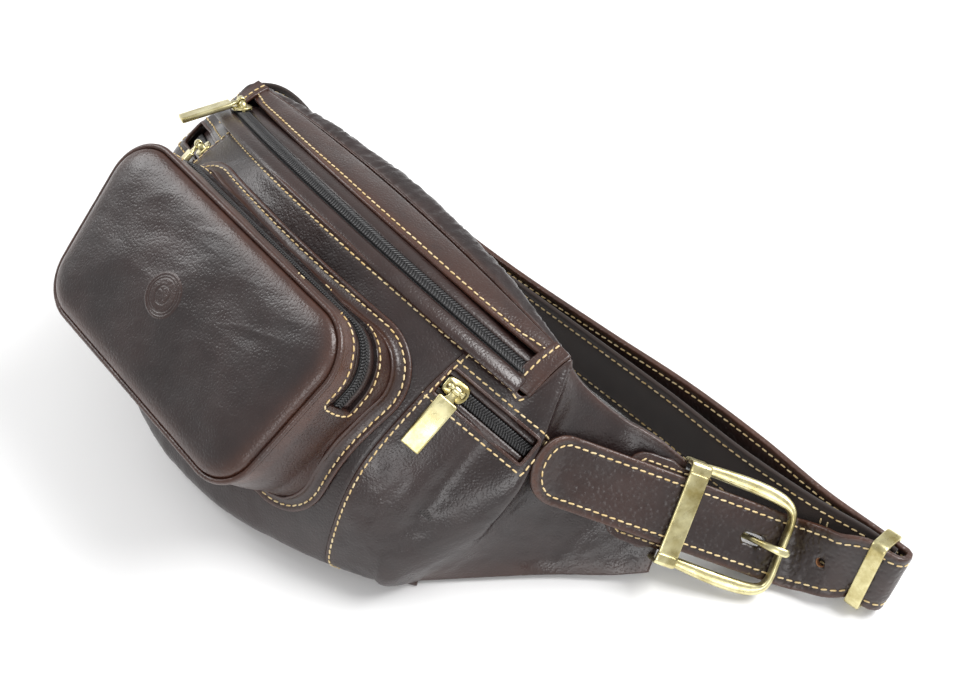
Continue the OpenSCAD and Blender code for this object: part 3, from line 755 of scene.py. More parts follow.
def side_grid(us, vs):
    """The right side's surface: us from the front panel's seam to the wing's tip, vs downwards."""
    body = front_grid(np.linspace(SEAM_X + GAP, BODY_HALF - 0.6, 5), np.linspace(0, 0.98, 15))
    wing = np.array([wing_row(i / 9, 14) for i in range(10)])
    rows = np.concatenate([body, wing])
    across = weights(len(rows), us)
    down = weights(15, vs)
    return np.einsum("ia,abk,jb->ijk", across, rows, down)


FRONTWARD = lean_turn(vec(0, -1, 0))
UPWARD = lean_turn(vec(0, 0, 1))


def facing(g, hint):
    """The grid's normals, on the side that the hint points to."""
    n = grid_normals(g)
    return n if (n @ np.asarray(hint, float)).sum() > 0 else -n


def pucker(depth, distance, width=1.6):
    """A shallow groove where a seam pulls the leather in, at a distance from a line."""
    return -depth * np.exp(-((distance / width) ** 2))


def soften(g, out, amount, seed, edge=0.12, crease=0.35):
    """Dents and soft creases of used leather, fading out at the edges of the panel."""
    n, m = g.shape[:2]
    a = np.minimum(np.arange(n), np.arange(n)[::-1])[:, None] / (n - 1)
    b = np.minimum(np.arange(m), np.arange(m)[::-1])[None] / (m - 1)
    fade = smooth(0, edge, a) * smooth(0, edge, b)
    dents = lumps(g, 46, 2, seed) * amount
    folds = lumps(g * vec(1, 0.55, 0.8), 13, 3, seed + 4)
    folds = -np.abs(folds) * crease
    return g + out * ((dents + folds) * fade)[..., None]


# ---------- body leather ----------
def build_front():
    xs = np.linspace(-SEAM_X, SEAM_X, 121)
    ts = np.linspace(0, 0.985, 90)
    g = front_grid(xs, ts)
    out = facing(g, FRONTWARD)
    g = soften(g, out, 0.9, 1.0)
    g += out * pucker(0.35, (ts - 0.03) * 130, 1.3)[None, :, None]
    warm = 0.55 * np.exp(-((ts / 0.035) ** 2))[None] + 0 * xs[:, None]
    warm = warm + 0.35 * smooth(0.8, 1.0, ts)[None]
    return sheet(g, LEATHER, warm, out)


def side_zip_place(p):
    """From the right side zip's own axes: x along it, z outwards."""
    p = turn(turn(turn(turn(p, "x", 78), "y", 4), "z", 36), "z", 0)
    return lean(p + vec(BODY_HALF - 7, -21.5, 99))


def side_zip_turn(v):
    return side_zip_place(v) - side_zip_place(vec(0, 0, 0))


SIDE_OUT = side_zip_turn(vec(0, 0, 1))
SIDE_WINDOW = (49.0, 14.0)


def rounded_box_line(w, h, r, count=120):
    """An outline of w by h with rounded corners, as x and y."""
    points = []
    for cx, cy, start in ((1, 1, 0), (-1, 1, 90), (-1, -1, 180), (1, -1, 270)):
        for k in range(9):
            a = radians(start + k * 90 / 8)
            points.append([cx * (w / 2 - r) + r * cos(a), cy * (h / 2 - r) + r * sin(a), 0])
    return dense(points, count, closed=True)


def build_side():
    us = np.concatenate([np.linspace(0, 0.3, 50)[:-1], np.linspace(0.3, 1, 76)])
    vs = np.linspace(0, 1, 96)
    g = side_grid(us, vs)
    out = facing(g, SIDE_OUT)
    centre = side_zip_place(vec(0, 0, 0))
    away = np.linalg.norm(g - centre, axis=-1)
    calm = smooth(16, 44, away)
    dents = lumps(g, 40, 2, 7.0) * 1.5 - np.abs(lumps(g * vec(1, 0.7, 1), 15, 3, 3.0)) * 0.7
    a = np.minimum(us, 1 - us)[:, None]
    b = np.minimum(vs, 1 - vs)[None]
    fade = smooth(0, 0.08, a) * smooth(0, 0.1, b)
    g = g + out * (dents * calm * fade)[..., None]
    g += out * pucker(0.3, (vs - 0.03) * 140, 1.3)[None, :, None]
    warm = 0.5 * np.exp(-((vs / 0.03) ** 2))[None] + 0.4 * smooth(0.85, 1.0, vs)[None]
    warm = warm + 0.35 * np.exp(-((us / 0.03) ** 2))[:, None] + 0.3 * smooth(0.9, 1.0, us)[:, None]
    return sheet(g, LEATHER, warm, out)


def build_back():
    xs = np.linspace(-BODY_HALF + 1, BODY_HALF - 1, 141)
    ts = np.linspace(0.012, 0.985, 110)
    g = back_grid(xs, ts)
    out = facing(g, -FRONTWARD)
    n = smooth(0, 0.05, np.minimum(ts, 1 - ts))[None]
    side = smooth(0, 7, BODY_HALF - 1 - np.abs(xs))[:, None]
    wrinkle = -np.abs(lumps(g * vec(2.2, 0.7, 0.7), 10, 3, 11.0))
    near_top = np.exp(-(((ts - 0.1) / 0.16) ** 2))[None]
    g = g + out * ((lumps(g, 50, 2, 9.0) * 1.2 + wrinkle * (0.45 + 0.9 * near_top)) * n * side)[..., None]
    warm = 0.5 * np.exp(-((ts / 0.05) ** 2))[None] + 0 * xs[:, None]
    return sheet(g, LEATHER, warm, out)


def build_band():
    xs = np.linspace(-BODY_HALF + 2, BODY_HALF - 2, 121)
    js = np.linspace(0.03, 0.985, 20)
    g = lean(np.stack([mix(back_top(xs), zip_back(xs), j) for j in js], 1))
    out = facing(g, UPWARD)
    belly = np.sin(pi * js)[None] * (0.9 + 0.4 * lumps(g, 30, 2, 21.0))
    g = g + out * (belly + pucker(0.35, (js - 0.865) * 25, 1.2)[None])[..., None]
    g = g - out * (1.4 * np.exp(-(((js - 0.03) / 0.06) ** 2)))[None, :, None]
    warm = 0.45 + 0.5 * smooth(0.7, 1.0, js)[None] + 0 * xs[:, None]
    return sheet(g, LEATHER, warm, out)


front_shape = build_front()
side_shape = build_side()
back_shape = build_back()
band_shape = build_band()
front_tree = front_shape.tree()
side_tree = side_shape.tree()
band_tree = band_shape.tree()

make("front_panel_leather", front_shape, leather, ["front_panel"])
for side, shape in (("r", side_shape), ("l", side_shape.mirrored())):
    panel = make("side_panel_leather_" + side, shape, leather, ["side_panel_" + side])
    box_points, box_faces = plate((SIDE_WINDOW[0], SIDE_WINDOW[1], 24), 1.4, 3)
    window = Shape().add(side_zip_place(box_points), box_faces)
    cut(panel, window if side == "r" else window.mirrored())
make("back_panel_leather", back_shape, leather, ["back_panel"])
make("top_band_leather", band_shape, leather, ["top_band"])


def build_binding():
    """The turned seam along the bottom: a rib of leather with a flattened lip."""
    xs = np.linspace(-BODY_HALF, BODY_HALF, 161)
    p = lay(bottom_table(xs))
    p[:, 2] += 0.05
    wave = 1 + 0.08 * lumps(p, 9, 2, 5.0)
    _, across, normal = frames_along(p, (0, 0, 1))
    profile = ring(1.55, 1.5, 12, 0.8)[None] * wave[:, None, None]
    return sweep(p, across, normal, profile, warm=0.5)


make("bottom_binding_leather", build_binding(), leather, ["bottom_binding"])


def build_wing_lining():
    rows = np.array([wing_row(i / 9, 8, bulged=False) for i in range(10)])
    g = np.einsum("ia,abk,jb->ijk", weights(10, np.linspace(0, 1, 40)), rows,
                  weights(9, np.linspace(0, 1, 48)))
    out = facing(g, SIDE_OUT)
    g = g - out * (LEATHER + GAP)
    g = g + out * (lumps(g, 24, 2, 31.0) * 0.25)[..., None]
    return sheet(g, LEATHER, 0.0, out)


lining_shape = build_wing_lining()
make("wing_lining_suede_r", lining_shape, suede, ["wing_lining_r"])
make("wing_lining_suede_l", lining_shape.mirrored(), suede, ["wing_lining_l"])

# ---------- main zip ----------
ZIP_MID = vec(0, -BODY_DEPTH + 9.85, FRONT_H + 8)
ZIP_SAG = 34.8
ZIP_R = (BODY_HALF**2 + ZIP_SAG**2) / (2 * ZIP_SAG)
ZIP_HALF = degrees(asin((BODY_HALF - 4) / ZIP_R)) - 1
ZIP_DROP = -5.8
ZIP_SLOPE = 42


def zip_place(p, angle):
    """From the main zip's axes at an angle from its middle: x along, y up the slope, z outwards."""
    p = turn(p, "x", ZIP_SLOPE) + vec(0, -ZIP_R, 0)
    p = turn(p, "z", angle) + vec(0, ZIP_R, 0)
    return lean(turn(p, "x", ZIP_DROP) + ZIP_MID)


def zip_line(y, z, half=ZIP_HALF, count=160):
    return np.array([zip_place(vec(0, y, z), a) for a in np.linspace(-half, half, count)])


def zip_strip(ys, zs, thickness, half, count=140, warm=0.0):
    g = np.array([[zip_place(vec(0, y, z), a) for y, z in zip(ys, zs)]
                  for a in np.linspace(-half, half, count)])
    return sheet(g, thickness, warm, facing(g, UPWARD + FRONTWARD))


def coil(points, across, normal, width, shape, pitch=1.45):
    """Interlocked coil teeth: two rows of small slanted ribs."""
    spots, along, _ = resample(points, pitch)
    source = np.asarray(points, float)
    nearest = np.argmin(((spots[:, None] - source[None]) ** 2).sum(-1), 1)
    across = np.broadcast_to(across, source.shape)[nearest]
    normal = np.broadcast_to(normal, source.shape)[nearest]
    for s in (-1, 1):
        centre = spots + along * (pitch * 0.25 * s) + across * (s * width * 0.235)
        rib = unit(across + along * 0.42 * s + normal * (-0.10) * s)
        capsules(centre + normal * 0.55, rib, normal, width * 0.56, 0.56, 0.95, shape)
    return shape


def flat_band(points, across, normal, half, thickness, shape, z=0.0):
    profile = ring(half, thickness / 2, 12, 0.35)
    return sweep(points + normal * z, across, normal, profile, shape)


def build_main_zip():
    half = ZIP_HALF + 0.6
    lower = zip_strip([-3.9, -4.3, -6, -8, -10.5, -12.6], [-0.7, -0.05, 0.25, 0.1, -0.6, -1.9],
                      1.3, half, warm=0.15)
    upper = zip_strip([3.9, 4.3, 6, 8, 11, 13.4], [-0.7, -0.05, 0.25, 0.25, -0.2, -1.5],
                      1.3, half, warm=0.15)
    make("main_zip_facing_front", lower, leather)
    make("main_zip_facing_back", upper, leather)
    line = zip_line(0, 0)
    up = unit(zip_line(0, 1) - line)
    slope = unit(zip_line(1, 0) - line)
    tape = flat_band(line, slope, up, 6.2, 0.7, Shape(), -1.2)
    make("main_zip_tape_cloth", tape, tape_cloth, ["main_zip_tape"])
    teeth = flat_band(line, slope, up, 2.9, 1.5, Shape(), -0.3)
    coil(line, slope, up, 6.6, teeth)
    make("main_zip_coil", teeth, nylon, ["main_zip_teeth"])


build_main_zip()


def build_zip_end():
    """The wing's leather turned over the end of the main zip."""
    rows = []
    for x in np.linspace(111.6, BODY_HALF + 0.6, 12):
        front, back = front_top(min(x, 119.5)), back_top(min(x, 119.5))
        front, back = front[:].copy(), back.copy()
        front[0] = back[0] = x
        s = np.linspace(0.0, 1.0, 28)[:, None]
        line = mix(back, front, s)
        line = line + vec(0, -0.55, 0.83) * (1.2 + 2.3 * np.sin(pi * s))
        rows.append(line)
    g = lean(np.array(rows))
    return sheet(g, 1.9, 0.55, facing(g, UPWARD + FRONTWARD))


end_shape = build_zip_end()
end_tree = end_shape.tree()
make("zip_end_leather_r", end_shape, leather, ["zip_end_r"])
make("zip_end_leather_l", end_shape.mirrored(), leather, ["zip_end_l"])

# ---------- pocket ----------
def pocket_corners():
    """Corner centres (x, z) of the pocket's outline with the angles its arcs start and end at."""
    top = POCKET_Z + POCKET_H - POCKET_CORNER
    low = POCKET_Z + POCKET_CORNER
    wide = POCKET_HALF - POCKET_CORNER
    narrow = wide - POCKET_TAPER
    slant = degrees(np.arctan2(POCKET_TAPER, top - low))
    return [((wide, top), -slant, 90), ((-wide, top), 90, 180 + slant),
            ((-narrow, low), 180 + slant, 270), ((narrow, low), 270, 360 - slant)]


def pocket_track():
    """The outline's corner centre and outward angle at each step round it, and the arc steps."""
    corners = pocket_corners()
    centres, angles = [], []
    straight = (64, 22, 60, 22)
    for k, ((cx, cz), start, end) in enumerate(corners):
        for a in np.linspace(start, end, 18):
            centres.append((cx, cz))
            angles.append(a)
        (nx, nz), _, _ = corners[(k + 1) % 4]
        for f in np.linspace(0, 1, straight[k] + 2)[1:-1]:
            centres.append((mix(cx, nx, f), mix(cz, nz, f)))
            angles.append(end)
    return np.array(centres), np.radians(np.array(angles))


TRACK_CENTRE, TRACK_ANGLE = pocket_track()
TRACK_OUT = np.stack([np.cos(TRACK_ANGLE), np.sin(TRACK_ANGLE)], 1)
TRACK_N = len(TRACK_ANGLE)


def outline(grow):
    """The pocket's outline (x, z), grown outwards."""
    return TRACK_CENTRE + TRACK_OUT * (POCKET_CORNER + np.asarray(grow, float))


def pocket_ring(grow, y):
    p = outline(grow)
    return stack(p[:, 0], np.broadcast_to(y, TRACK_N), p[:, 1])


def foot_at(grow):
    """How far back the front panel's surface is behind each point of the outline."""
    p = pocket_ring(grow, FACE_Y)
    spots, _ = on_surface(front_plus_tree, lean(p), lean_turn(vec(0, 1, 0)))
    return unlean(spots + ORIGIN)[:, 1]


joined = Shape()
joined.add(front_shape.all_points(), front_shape.faces)
joined.add(side_shape.all_points(), side_shape.faces)
joined.add(side_shape.mirrored().all_points(), side_shape.mirrored().faces)
front_plus_tree = joined.tree()


def face_height(depth):
    """How far the face stands in front of its edge at a distance in from the edge."""
    shoulder = np.sqrt(np.clip(1 - (1 - np.clip(depth / 19, 0, 1)) ** 2, 0, 1))
    return 5.4 * shoulder + 1.2 * smooth(12, 44, depth)


def build_face():
    rings, depths = [], []
    for d in np.concatenate([[-0.6, -0.2], np.linspace(0.4, POCKET_CORNER - 1.5, 22)]):
        rings.append(outline(-d))
        depths.append(np.full(TRACK_N, max(d, 0.0)))
    middle = vec(0, POCKET_Z + POCKET_H / 2)
    base = outline(-(POCKET_CORNER - 1.5))
    for q in np.linspace(1, 0.02, 26)[1:]:
        p = middle + (base - middle) * q
        rings.append(p)
        top = POCKET_Z + POCKET_H - p[:, 1]
        low = p[:, 1] - POCKET_Z
        side = POCKET_HALF - 2 - np.abs(p[:, 0])
        near = np.minimum(np.minimum(top, low), side)
        depths.append(np.maximum(near, 18.5))
    rings, depths = np.array(rings), np.array(depths)
    flat = stack(rings[..., 0], 0, rings[..., 1])
    inside = smooth(4, 20, depths)
    dents = lumps(flat, 42, 2, 41.0) * 1.1 * inside
    creases = -np.abs(lumps(turn(flat, "y", 24) * vec(0.6, 1, 1.7), 21, 2, 44.0)) * 0.42
    slump = 1.2 * smooth(10, 40, depths) * (flat[..., 2] - middle[1]) / POCKET_H
    y = FACE_Y - face_height(depths) - (dents + creases * smooth(2, 12, depths)) + slump
    y[0] += 2.6
    y[1] += 1.1
    g = lean(stack(rings[..., 0], y, rings[..., 1]))
    g = np.swapaxes(g, 0, 1)
    warm = (0.75 * np.exp(-((depths / 5) ** 2))).T
    out = grid_normals(g, wrap=True)
    if (out @ FRONTWARD).sum() < 0:
        out = -out
    shape = sheet(g, LEATHER, warm, out, wrap=True)
    m = g.shape[1]
    shape.faces.append([i * m + m - 1 for i in range(TRACK_N)])
    shape.faces.append([TRACK_N * m + i * m + m - 1 for i in range(TRACK_N)][::-1])
    return shape


face_shape = build_face()
make("pocket_face_leather", face_shape, leather, ["pocket_front"])
face_tree = face_shape.tree()


def build_badge():
    """A plain round stamp pressed into the pocket's face."""
    centre = vec(-8.5, FACE_Y, 55.5)
    radius = 10.2
    rs = np.linspace(0.0, radius + 0.8, 46)[1:]
    angles = np.linspace(0, 2 * pi, 72, endpoint=False)
    flat = np.array([[centre + vec(r * cos(a), 0, r * sin(a)) for r in rs] for a in angles])
    spots, normals = on_surface(face_tree, lean(flat).reshape(-1, 3), lean_turn(vec(0, 1, 0)))
    spots = spots.reshape(flat.shape)
    normals = normals.reshape(flat.shape)
    height = 0.30 - 0.30 * smooth(radius - 0.2, radius + 0.7, rs)
    for groove in (radius - 1.2, radius - 2.5, 4.2):
        height = height - 0.26 * np.exp(-(((rs - groove) / 0.30) ** 2))
    leaf = np.array([[max(0.0, 1 - abs(r - 1.8 - 2.1 * abs(cos(2 * a))) / 0.5) for r in rs]
                     for a in angles])
    g = spots + normals * (height[None] - 0.16 * leaf - 0.02)[..., None]
    shape = sheet(g, 0.5, 0.25, normals, wrap=True)
    m = g.shape[1]
    shape.faces.append([i * m for i in range(len(angles))])
    shape.faces.append([len(angles) * m + i * m for i in range(len(angles))][::-1])
    return shape


make("pocket_stamp", build_badge(), leather)


def pocket_out(normal_shift=0.0):
    return lean_turn(stack(TRACK_OUT[:, 0], normal_shift, TRACK_OUT[:, 1]))


def build_piping():
    p = lean(pocket_ring(1.5, FACE_Y + 1.3))
    _, across, normal = frames_along(p, pocket_out(), closed=True)
    wave = 1 + 0.05 * lumps(p, 6, 2, 51.0)
    profile = ring(1.65, 1.45, 12)[None] * wave[:, None, None]
    return sweep(p, across, normal, profile, closed=True, warm=0.7)


make("pocket_piping_leather", build_piping(), leather, ["pocket_piping"])

foot_y = foot_at(2.0)
# The pocket's zip runs up its left side, along the top and a little way down its right side
ZIP_FROM = int(np.argmin(np.abs(outline(0)[:, 1] - POCKET_Z - 37) + 1000 * (outline(0)[:, 0] > -70)))
ZIP_TO = TRACK_N - 4
WINDOW_Y = (POCKET_ZIP_Y - 7.5, POCKET_ZIP_Y + 7.5)


def zip_track():
    """Steps of the outline that the pocket's zip covers, from its left end to its right end."""
    return [k % TRACK_N for k in range(ZIP_TO - TRACK_N, ZIP_FROM + 1)][::-1]


def build_gusset():
    ys = [FACE_Y + 2.4, -86.5, -84, -81.6, -80.1, -78.6, -77, -74, -70, -66, -63, -61.4, -59.9,
          -58.4]
    tail = np.linspace(0, 1, 8)[1:]
    rings = [pocket_ring(1.0 + 1.1 * sin(pi * k / len(ys)), y) for k, y in enumerate(ys)]
    for f in tail:
        y = mix(np.full(TRACK_N, ys[-1]), foot_y - 0.9, f)
        rings.append(pocket_ring(1.4 + 1.2 * f**2, y))
    g = lean(np.stack(rings, 1))
    out = grid_normals(g, wrap=True)
    if (out * pocket_out()[:, None]).sum() < 0:
        out = -out
    g = g + out * (lumps(g, 26, 2, 61.0) * 0.8 * np.concatenate(
        [[0, 0.3], np.ones(g.shape[1] - 6), [0.6, 0.3, 0, 0]])[None])[..., None]
    warm = np.concatenate([[1, 1, 0.9, 0.8, 0.7], np.full(g.shape[1] - 5, 0.45)])
    return sheet(g, LEATHER, np.broadcast_to(warm, g.shape[:2]), out, wrap=True)


def window_cutter():
    steps = zip_track()
    inner, outer = outline(-6)[steps], outline(8)[steps]
    grid = []
    for a, b in zip(inner, outer):
        grid.append([(a[0], WINDOW_Y[0], a[1]), (b[0], WINDOW_Y[0], b[1]),
                     (b[0], WINDOW_Y[1], b[1]), (a[0], WINDOW_Y[1], a[1])])
    n = len(grid)
    faces = grid_faces(n, 4, wrap_m=True) + [[0, 1, 2, 3], [4 * n - 1, 4 * n - 2, 4 * n - 3, 4 * n - 4]]
    return Shape().add(lean(np.array(grid)), faces)


gusset_shape = build_gusset()
gusset_tree = gusset_shape.tree()
gusset = make("pocket_gusset_leather", gusset_shape, leather, ["pocket_gusset"])
cut(gusset, window_cutter())


def flange_ring(grow, lift):
    p = pocket_ring(grow, FACE_Y)
    spots, normals = on_surface(front_plus_tree, lean(p), lean_turn(vec(0, 1, 0)))
    return spots + normals * lift, normals


def build_flange():
    rings = []
    for grow, lift in ((1.2, 5.5), (1.5, 3.9), (2.1, 2.7), (3.0, 2.1), (4.2, 1.75), (4.9, 1.5),
                       (5.6, 1.75), (6.6, 1.85), (7.4, 1.55)):
        rings.append(flange_ring(grow, lift)[0])
    g = np.stack(rings, 1)
    out = grid_normals(g, wrap=True)
    if (out @ FRONTWARD).sum() < 0:
        out = -out
    g = g + out * (lumps(g, 12, 2, 71.0) * 0.25)[..., None]
    warm = np.broadcast_to([0.5, 0.4, 0.3, 0.2, 0.3, 0.35, 0.4, 0.5, 0.8], g.shape[:2])
    return sheet(g, 1.4, warm, out, wrap=True)


make("pocket_flange_leather", build_flange(), leather, ["pocket_flange"])


def track_line(steps, y, grow):
    p = outline(grow)[steps]
    return lean(stack(p[:, 0], y, p[:, 1]))


def build_pocket_zip():
    steps = zip_track()
    out = pocket_out()[steps]
    across = np.broadcast_to(lean_turn(vec(0, 1, 0)), out.shape)
    line = track_line(steps, POCKET_ZIP_Y, 0.4)
    facing_shape = Shape()
    for s in (-1, 1):
        ys = [POCKET_ZIP_Y + s * v for v in (3.1, 3.5, 5, 7, 8.6)]
        g = np.stack([track_line(steps, y, grow)
                      for y, grow in zip(ys, (-0.4, 0.25, 0.4, 0.3, -0.8))], 1)
        normal = grid_normals(g)
        if (normal * out[:, None]).sum() < 0:
            normal = -normal
        sheet(g, 1.1, 0.2, normal, shape=facing_shape)
    make("pocket_zip_facing", facing_shape, leather)
    tape = flat_band(line, across, out, 5.4, 0.7, Shape(), -1.6)
    make("pocket_zip_tape_cloth", tape, tape_cloth, ["pocket_zip_tape"])
    teeth = flat_band(line, across, out, 2.5, 1.4, Shape(), -0.6)
    coil(line, across, out, 5.6, teeth, 1.35)
    make("pocket_zip_coil", teeth, nylon, ["pocket_zip_teeth"])


build_pocket_zip()


# ---------- side zips ----------
def side_local(points):
    return side_zip_place(np.asarray(points, float))


def build_side_zip():
    """The right side zip's pieces as (name, shape, material, slot, CAD nodes)."""
    half = SIDE_WINDOW[0] / 2 - 0.4
    xs = np.linspace(-half, half, 40)
    line = side_local(stack(xs, 0, 0))
    across = np.broadcast_to(side_zip_turn(vec(0, 1, 0)), line.shape)
    out = np.broadcast_to(SIDE_OUT, line.shape)
    strips = Shape()
    for s in (-1, 1):
        g = side_local(np.array([[(x, s * y, z) for y, z in
                                  ((3.1, -0.6), (3.5, 0.0), (5, 0.15), (7, -0.2), (8.6, -1.6))]
                                 for x in xs]))
        sheet(g, 1.0, 0.25, facing(g, SIDE_OUT), shape=strips)
    tape = flat_band(line, across, out, 5.6, 0.7, Shape(), -1.7)
    teeth = flat_band(line, across, out, 2.5, 1.4, Shape(), -0.5)
    coil(line, across, out, 5.8, teeth, 1.35)
    return [("side_zip_facing", strips, leather, "leather", []),
            ("side_zip_tape_cloth", tape, tape_cloth, "nylon_teeth", ["side_zip_tape"]),
            ("side_zip_coil", teeth, nylon, "nylon_teeth", ["side_zip_teeth"])]


def build_lips():
    """The folded edge round the right side zip's window, on the panel's surface."""
    edge = side_local(rounded_box_line(SIDE_WINDOW[0] + 0.5, SIDE_WINDOW[1] + 0.5, 1.6))
    spots, normals = on_surface(side_tree, edge, -SIDE_OUT)
    _, across, normal = frames_along(spots, normals, closed=True)
    return sweep(spots - normals * 0.62, across, normal, ring(0.95, 1.0, 10), closed=True, warm=0.7)


side_pieces = build_side_zip() + [("side_zip_lips", build_lips(), leather, "leather", [])]
for side in ("r", "l"):
    for name, shape, material, slot, nodes in side_pieces:
        make(name + "_" + side, shape if side == "r" else shape.mirrored(), material,
             [n + "_" + side for n in nodes])


# ---------- zip sliders and pulls ----------
def slider_outline(length, front, back, count=40):
    """A shield shape: round and wide towards +x, narrower behind."""
    points = []
    for a in np.linspace(-pi / 2, pi / 2, 13):
        points.append([length / 2 - 3.2 + 3.2 * cos(a), front / 2 * sin(a), 0])
    points += [[length * 0.02, front / 2 * 0.97, 0], [-length * 0.22, back / 2, 0],
               [-length / 2 + 0.8, back / 2, 0], [-length / 2, back / 2 - 1, 0]]
    points += [[-length / 2, -back / 2 + 1, 0], [-length / 2 + 0.8, -back / 2, 0],
               [-length * 0.22, -back / 2, 0], [length * 0.02, -front / 2 * 0.97, 0]]
    return dense(points, count, closed=True)


def slab(line, low, high, soft=0.35, dome=0.0):
    """A flat piece with the outline line, from z = low to z = high, with softened edges."""
    centre = line.mean(0)
    away = unit(line - centre)
    rows = [(-soft, low), (0, low + soft), (0, high - soft), (-soft * 0.4, high - soft * 0.3),
            (-soft * 1.3, high + dome * 0.2), (-2.2, high + dome)]
    g = np.stack([line + away * inset + vec(0, 0, z) for inset, z in rows])
    n = len(line)
    faces = grid_faces(len(rows), n, wrap_m=True)
    faces += [list(range(n))[::-1], [(len(rows) - 1) * n + k for k in range(n)]]
    return g, faces


def build_slider(place, teeth_w):
    """A zip slider. place turns its own points into the row frame."""
    width = teeth_w + 3
    gap = 1.45
    shape = Shape()

    def put(points, faces, warm=0.0):
        shape.add(place(np.asarray(points, float)), faces, warm)

    line = slider_outline(12, width, width - 2.4)
    points, faces = slab(line, gap, gap + 1.35, dome=0.35)
    put(points, faces, 0.1)
    points, faces = slab(line, -gap - 1.3, -gap)
    put(points, faces, 0.4)
    points, faces = plate((2.4, 1.6, 2 * gap + 1), 0.3)
    put(points + vec(4.8, 0, 0), faces, 0.6)
    arch = np.array([(-4.3, 0, 2.2), (-4.2, 0, 3.4), (-3.7, 0, 4.6), (-2.8, 0, BAR_H - 0.25),
                     (-1.6, 0, BAR_H), (0, 0, BAR_H), (1.6, 0, BAR_H), (2.8, 0, BAR_H - 0.25),
                     (3.7, 0, 4.6), (4.2, 0, 3.4), (4.3, 0, 2.2)], float)
    arch = curve_at(arch, np.linspace(0, 1, 33))
    near = np.abs(arch[:, 0])
    wide = mix(BAR_R * 0.95, 1.75, smooth(2.2, 3.6, near))
    _, across, normal = frames_along(arch, (0, 0, 1))
    _, across, normal = frames_along(arch, np.cross(vec(0, 1, 0), unit(np.gradient(arch, axis=0))))
    profile = ring(1, 1, 14)[None] * np.stack([wide, np.full(33, BAR_R * 0.92)], 1)[:, None]
    bar = sweep(arch, across, normal, profile)
    put(bar.all_points(), bar.faces, 0.05)
    for s in (-1, 1):
        rail = np.array([(-5.0, s * (width / 2 - 1.6), gap + 0.3),
                         (0.5, s * (width / 2 - 0.6), gap + 0.3),
                         (4.2, s * (width / 2 - 0.9), gap + 0.3)])
        side_rail = tube(curve_at(rail, np.linspace(0, 1, 14)), 0.62, 8)
        put(side_rail.all_points(), side_rail.faces, 0.3)
    return shape


def build_pull(place, angle):
    """A zip pull on the slider's bar, turned to its angle at rest."""
    shape = Shape()

    def put(points, faces, warm=0.0):
        points = turn(np.asarray(points, float), "x", angle) + vec(0, 0, BAR_H)
        shape.add(place(points), faces, warm)

    around = np.linspace(0, 2 * pi, 29)[:-1]
    eye = np.stack([0 * around, 1.68 * np.cos(around) + 0.0, 1.68 * np.sin(around)], 1)
    _, across, normal = frames_along(eye, unit(eye), closed=True)
    loop = sweep(eye, across, normal, ring(1.9, 0.48, 14, 0.7), closed=True)
    put(loop.all_points(), loop.faces, 0.1)
    neck = np.array([(0, 1.9, 0), (0, 3.0, 0), (0, 4.2, 0), (0, 5.6, 0), (0, 7.0, 0)], float)
    wide = vec(1.8, 1.7, 2.1, 2.9, 3.4)
    thick = vec(0.85, 0.8, 0.85, 1.0, 1.1)
    _, across, normal = frames_along(neck, (0, 0, 1))
    profile = ring(1, 1, 16, 0.7)[None] * np.stack([wide, thick], 1)[:, None]
    stem = sweep(neck, across, normal, profile)
    put(stem.all_points(), stem.faces, 0.35)
    points, faces = plate((PULL_W, PULL_LEN - 0.6, 2.5), 0.75, 4, crown=0.55)
    put(points + vec(0, 5 + PULL_LEN / 2, -0.15), faces, 0.0)
    return shape


SLIDER_REST = -28.4
POCKET_SLIDER_Z = 58.0
POCKET_SLANT = degrees(np.arctan2(POCKET_TAPER, POCKET_H - 2 * POCKET_CORNER))


def main_place(p):
    return zip_place(p, SLIDER_REST)


def pocket_place(p):
    """On the pocket's left side: x up the side, y backwards, z out to the left."""
    drop = POCKET_Z + POCKET_H - POCKET_CORNER - POCKET_SLIDER_Z
    edge = -POCKET_HALF + drop * np.tan(radians(POCKET_SLANT))
    return lean(turn(p, "y", -90 - POCKET_SLANT) + vec(edge, POCKET_ZIP_Y, POCKET_SLIDER_Z))


def side_place(p):
    return side_zip_place(np.asarray(p, float) + vec(-17, 0, 0))


for label, place, teeth_w, angle in (("main", main_place, 7, -166), ("pocket", pocket_place, 6, 38),
                                     ("side", side_place, 6, 185)):
    slider_shape = build_slider(place, teeth_w)
    pull_shape = build_pull(place, angle)
    for side in ("_r", "_l") if label == "side" else ("",):
        flip = side == "_l"
        make(label + "_slider_brass" + side, slider_shape.mirrored() if flip else slider_shape,
             brass, [label + "_slider" + side], label + "_slider" + side + "_body", 40)
        make(label + "_pull_brass" + side, pull_shape.mirrored() if flip else pull_shape,
             brass, [label + "_pull" + side], label + "_pull" + side + "_body", 40)


# ---------- belt ----------
BUCKLE_AT = vec(BODY_HALF + 63, 118, 34)
BUCKLE_TURN = (44.9, 22, 42.8)
TIP_REACH = 74.0
HOLE_AT = BUCKLE_LEN - 11
FAR_LEAN = 21
KEEPER_SLACK = 0.5
FAR_INNER = (STRAP_W + 2 * KEEPER_SLACK, 2 * STRAP_T + BACK_STRAP_T + 5.8)
FAR_OUTER = (FAR_INNER[0] + 2 * KEEPER_T, FAR_INNER[1] + 2 * KEEPER_T)
FAR_Z = (FAR_OUTER[0] * cos(radians(FAR_LEAN)) + FAR_OUTER[1] * sin(radians(FAR_LEAN))) / 2
EDGE_Z = STRAP_W / 2 + 0.6
FAR_MID_Y = 170.4


def buckle_turn(v):
    for axis, angle in zip("xyz", BUCKLE_TURN):
        v = turn(v, axis, angle)
    return v


def buckle_place(p):
    """From the buckle's axes: x along the strap, y across it, z out of its face."""
    return lay(buckle_turn(np.asarray(p, float)) + BUCKLE_AT)


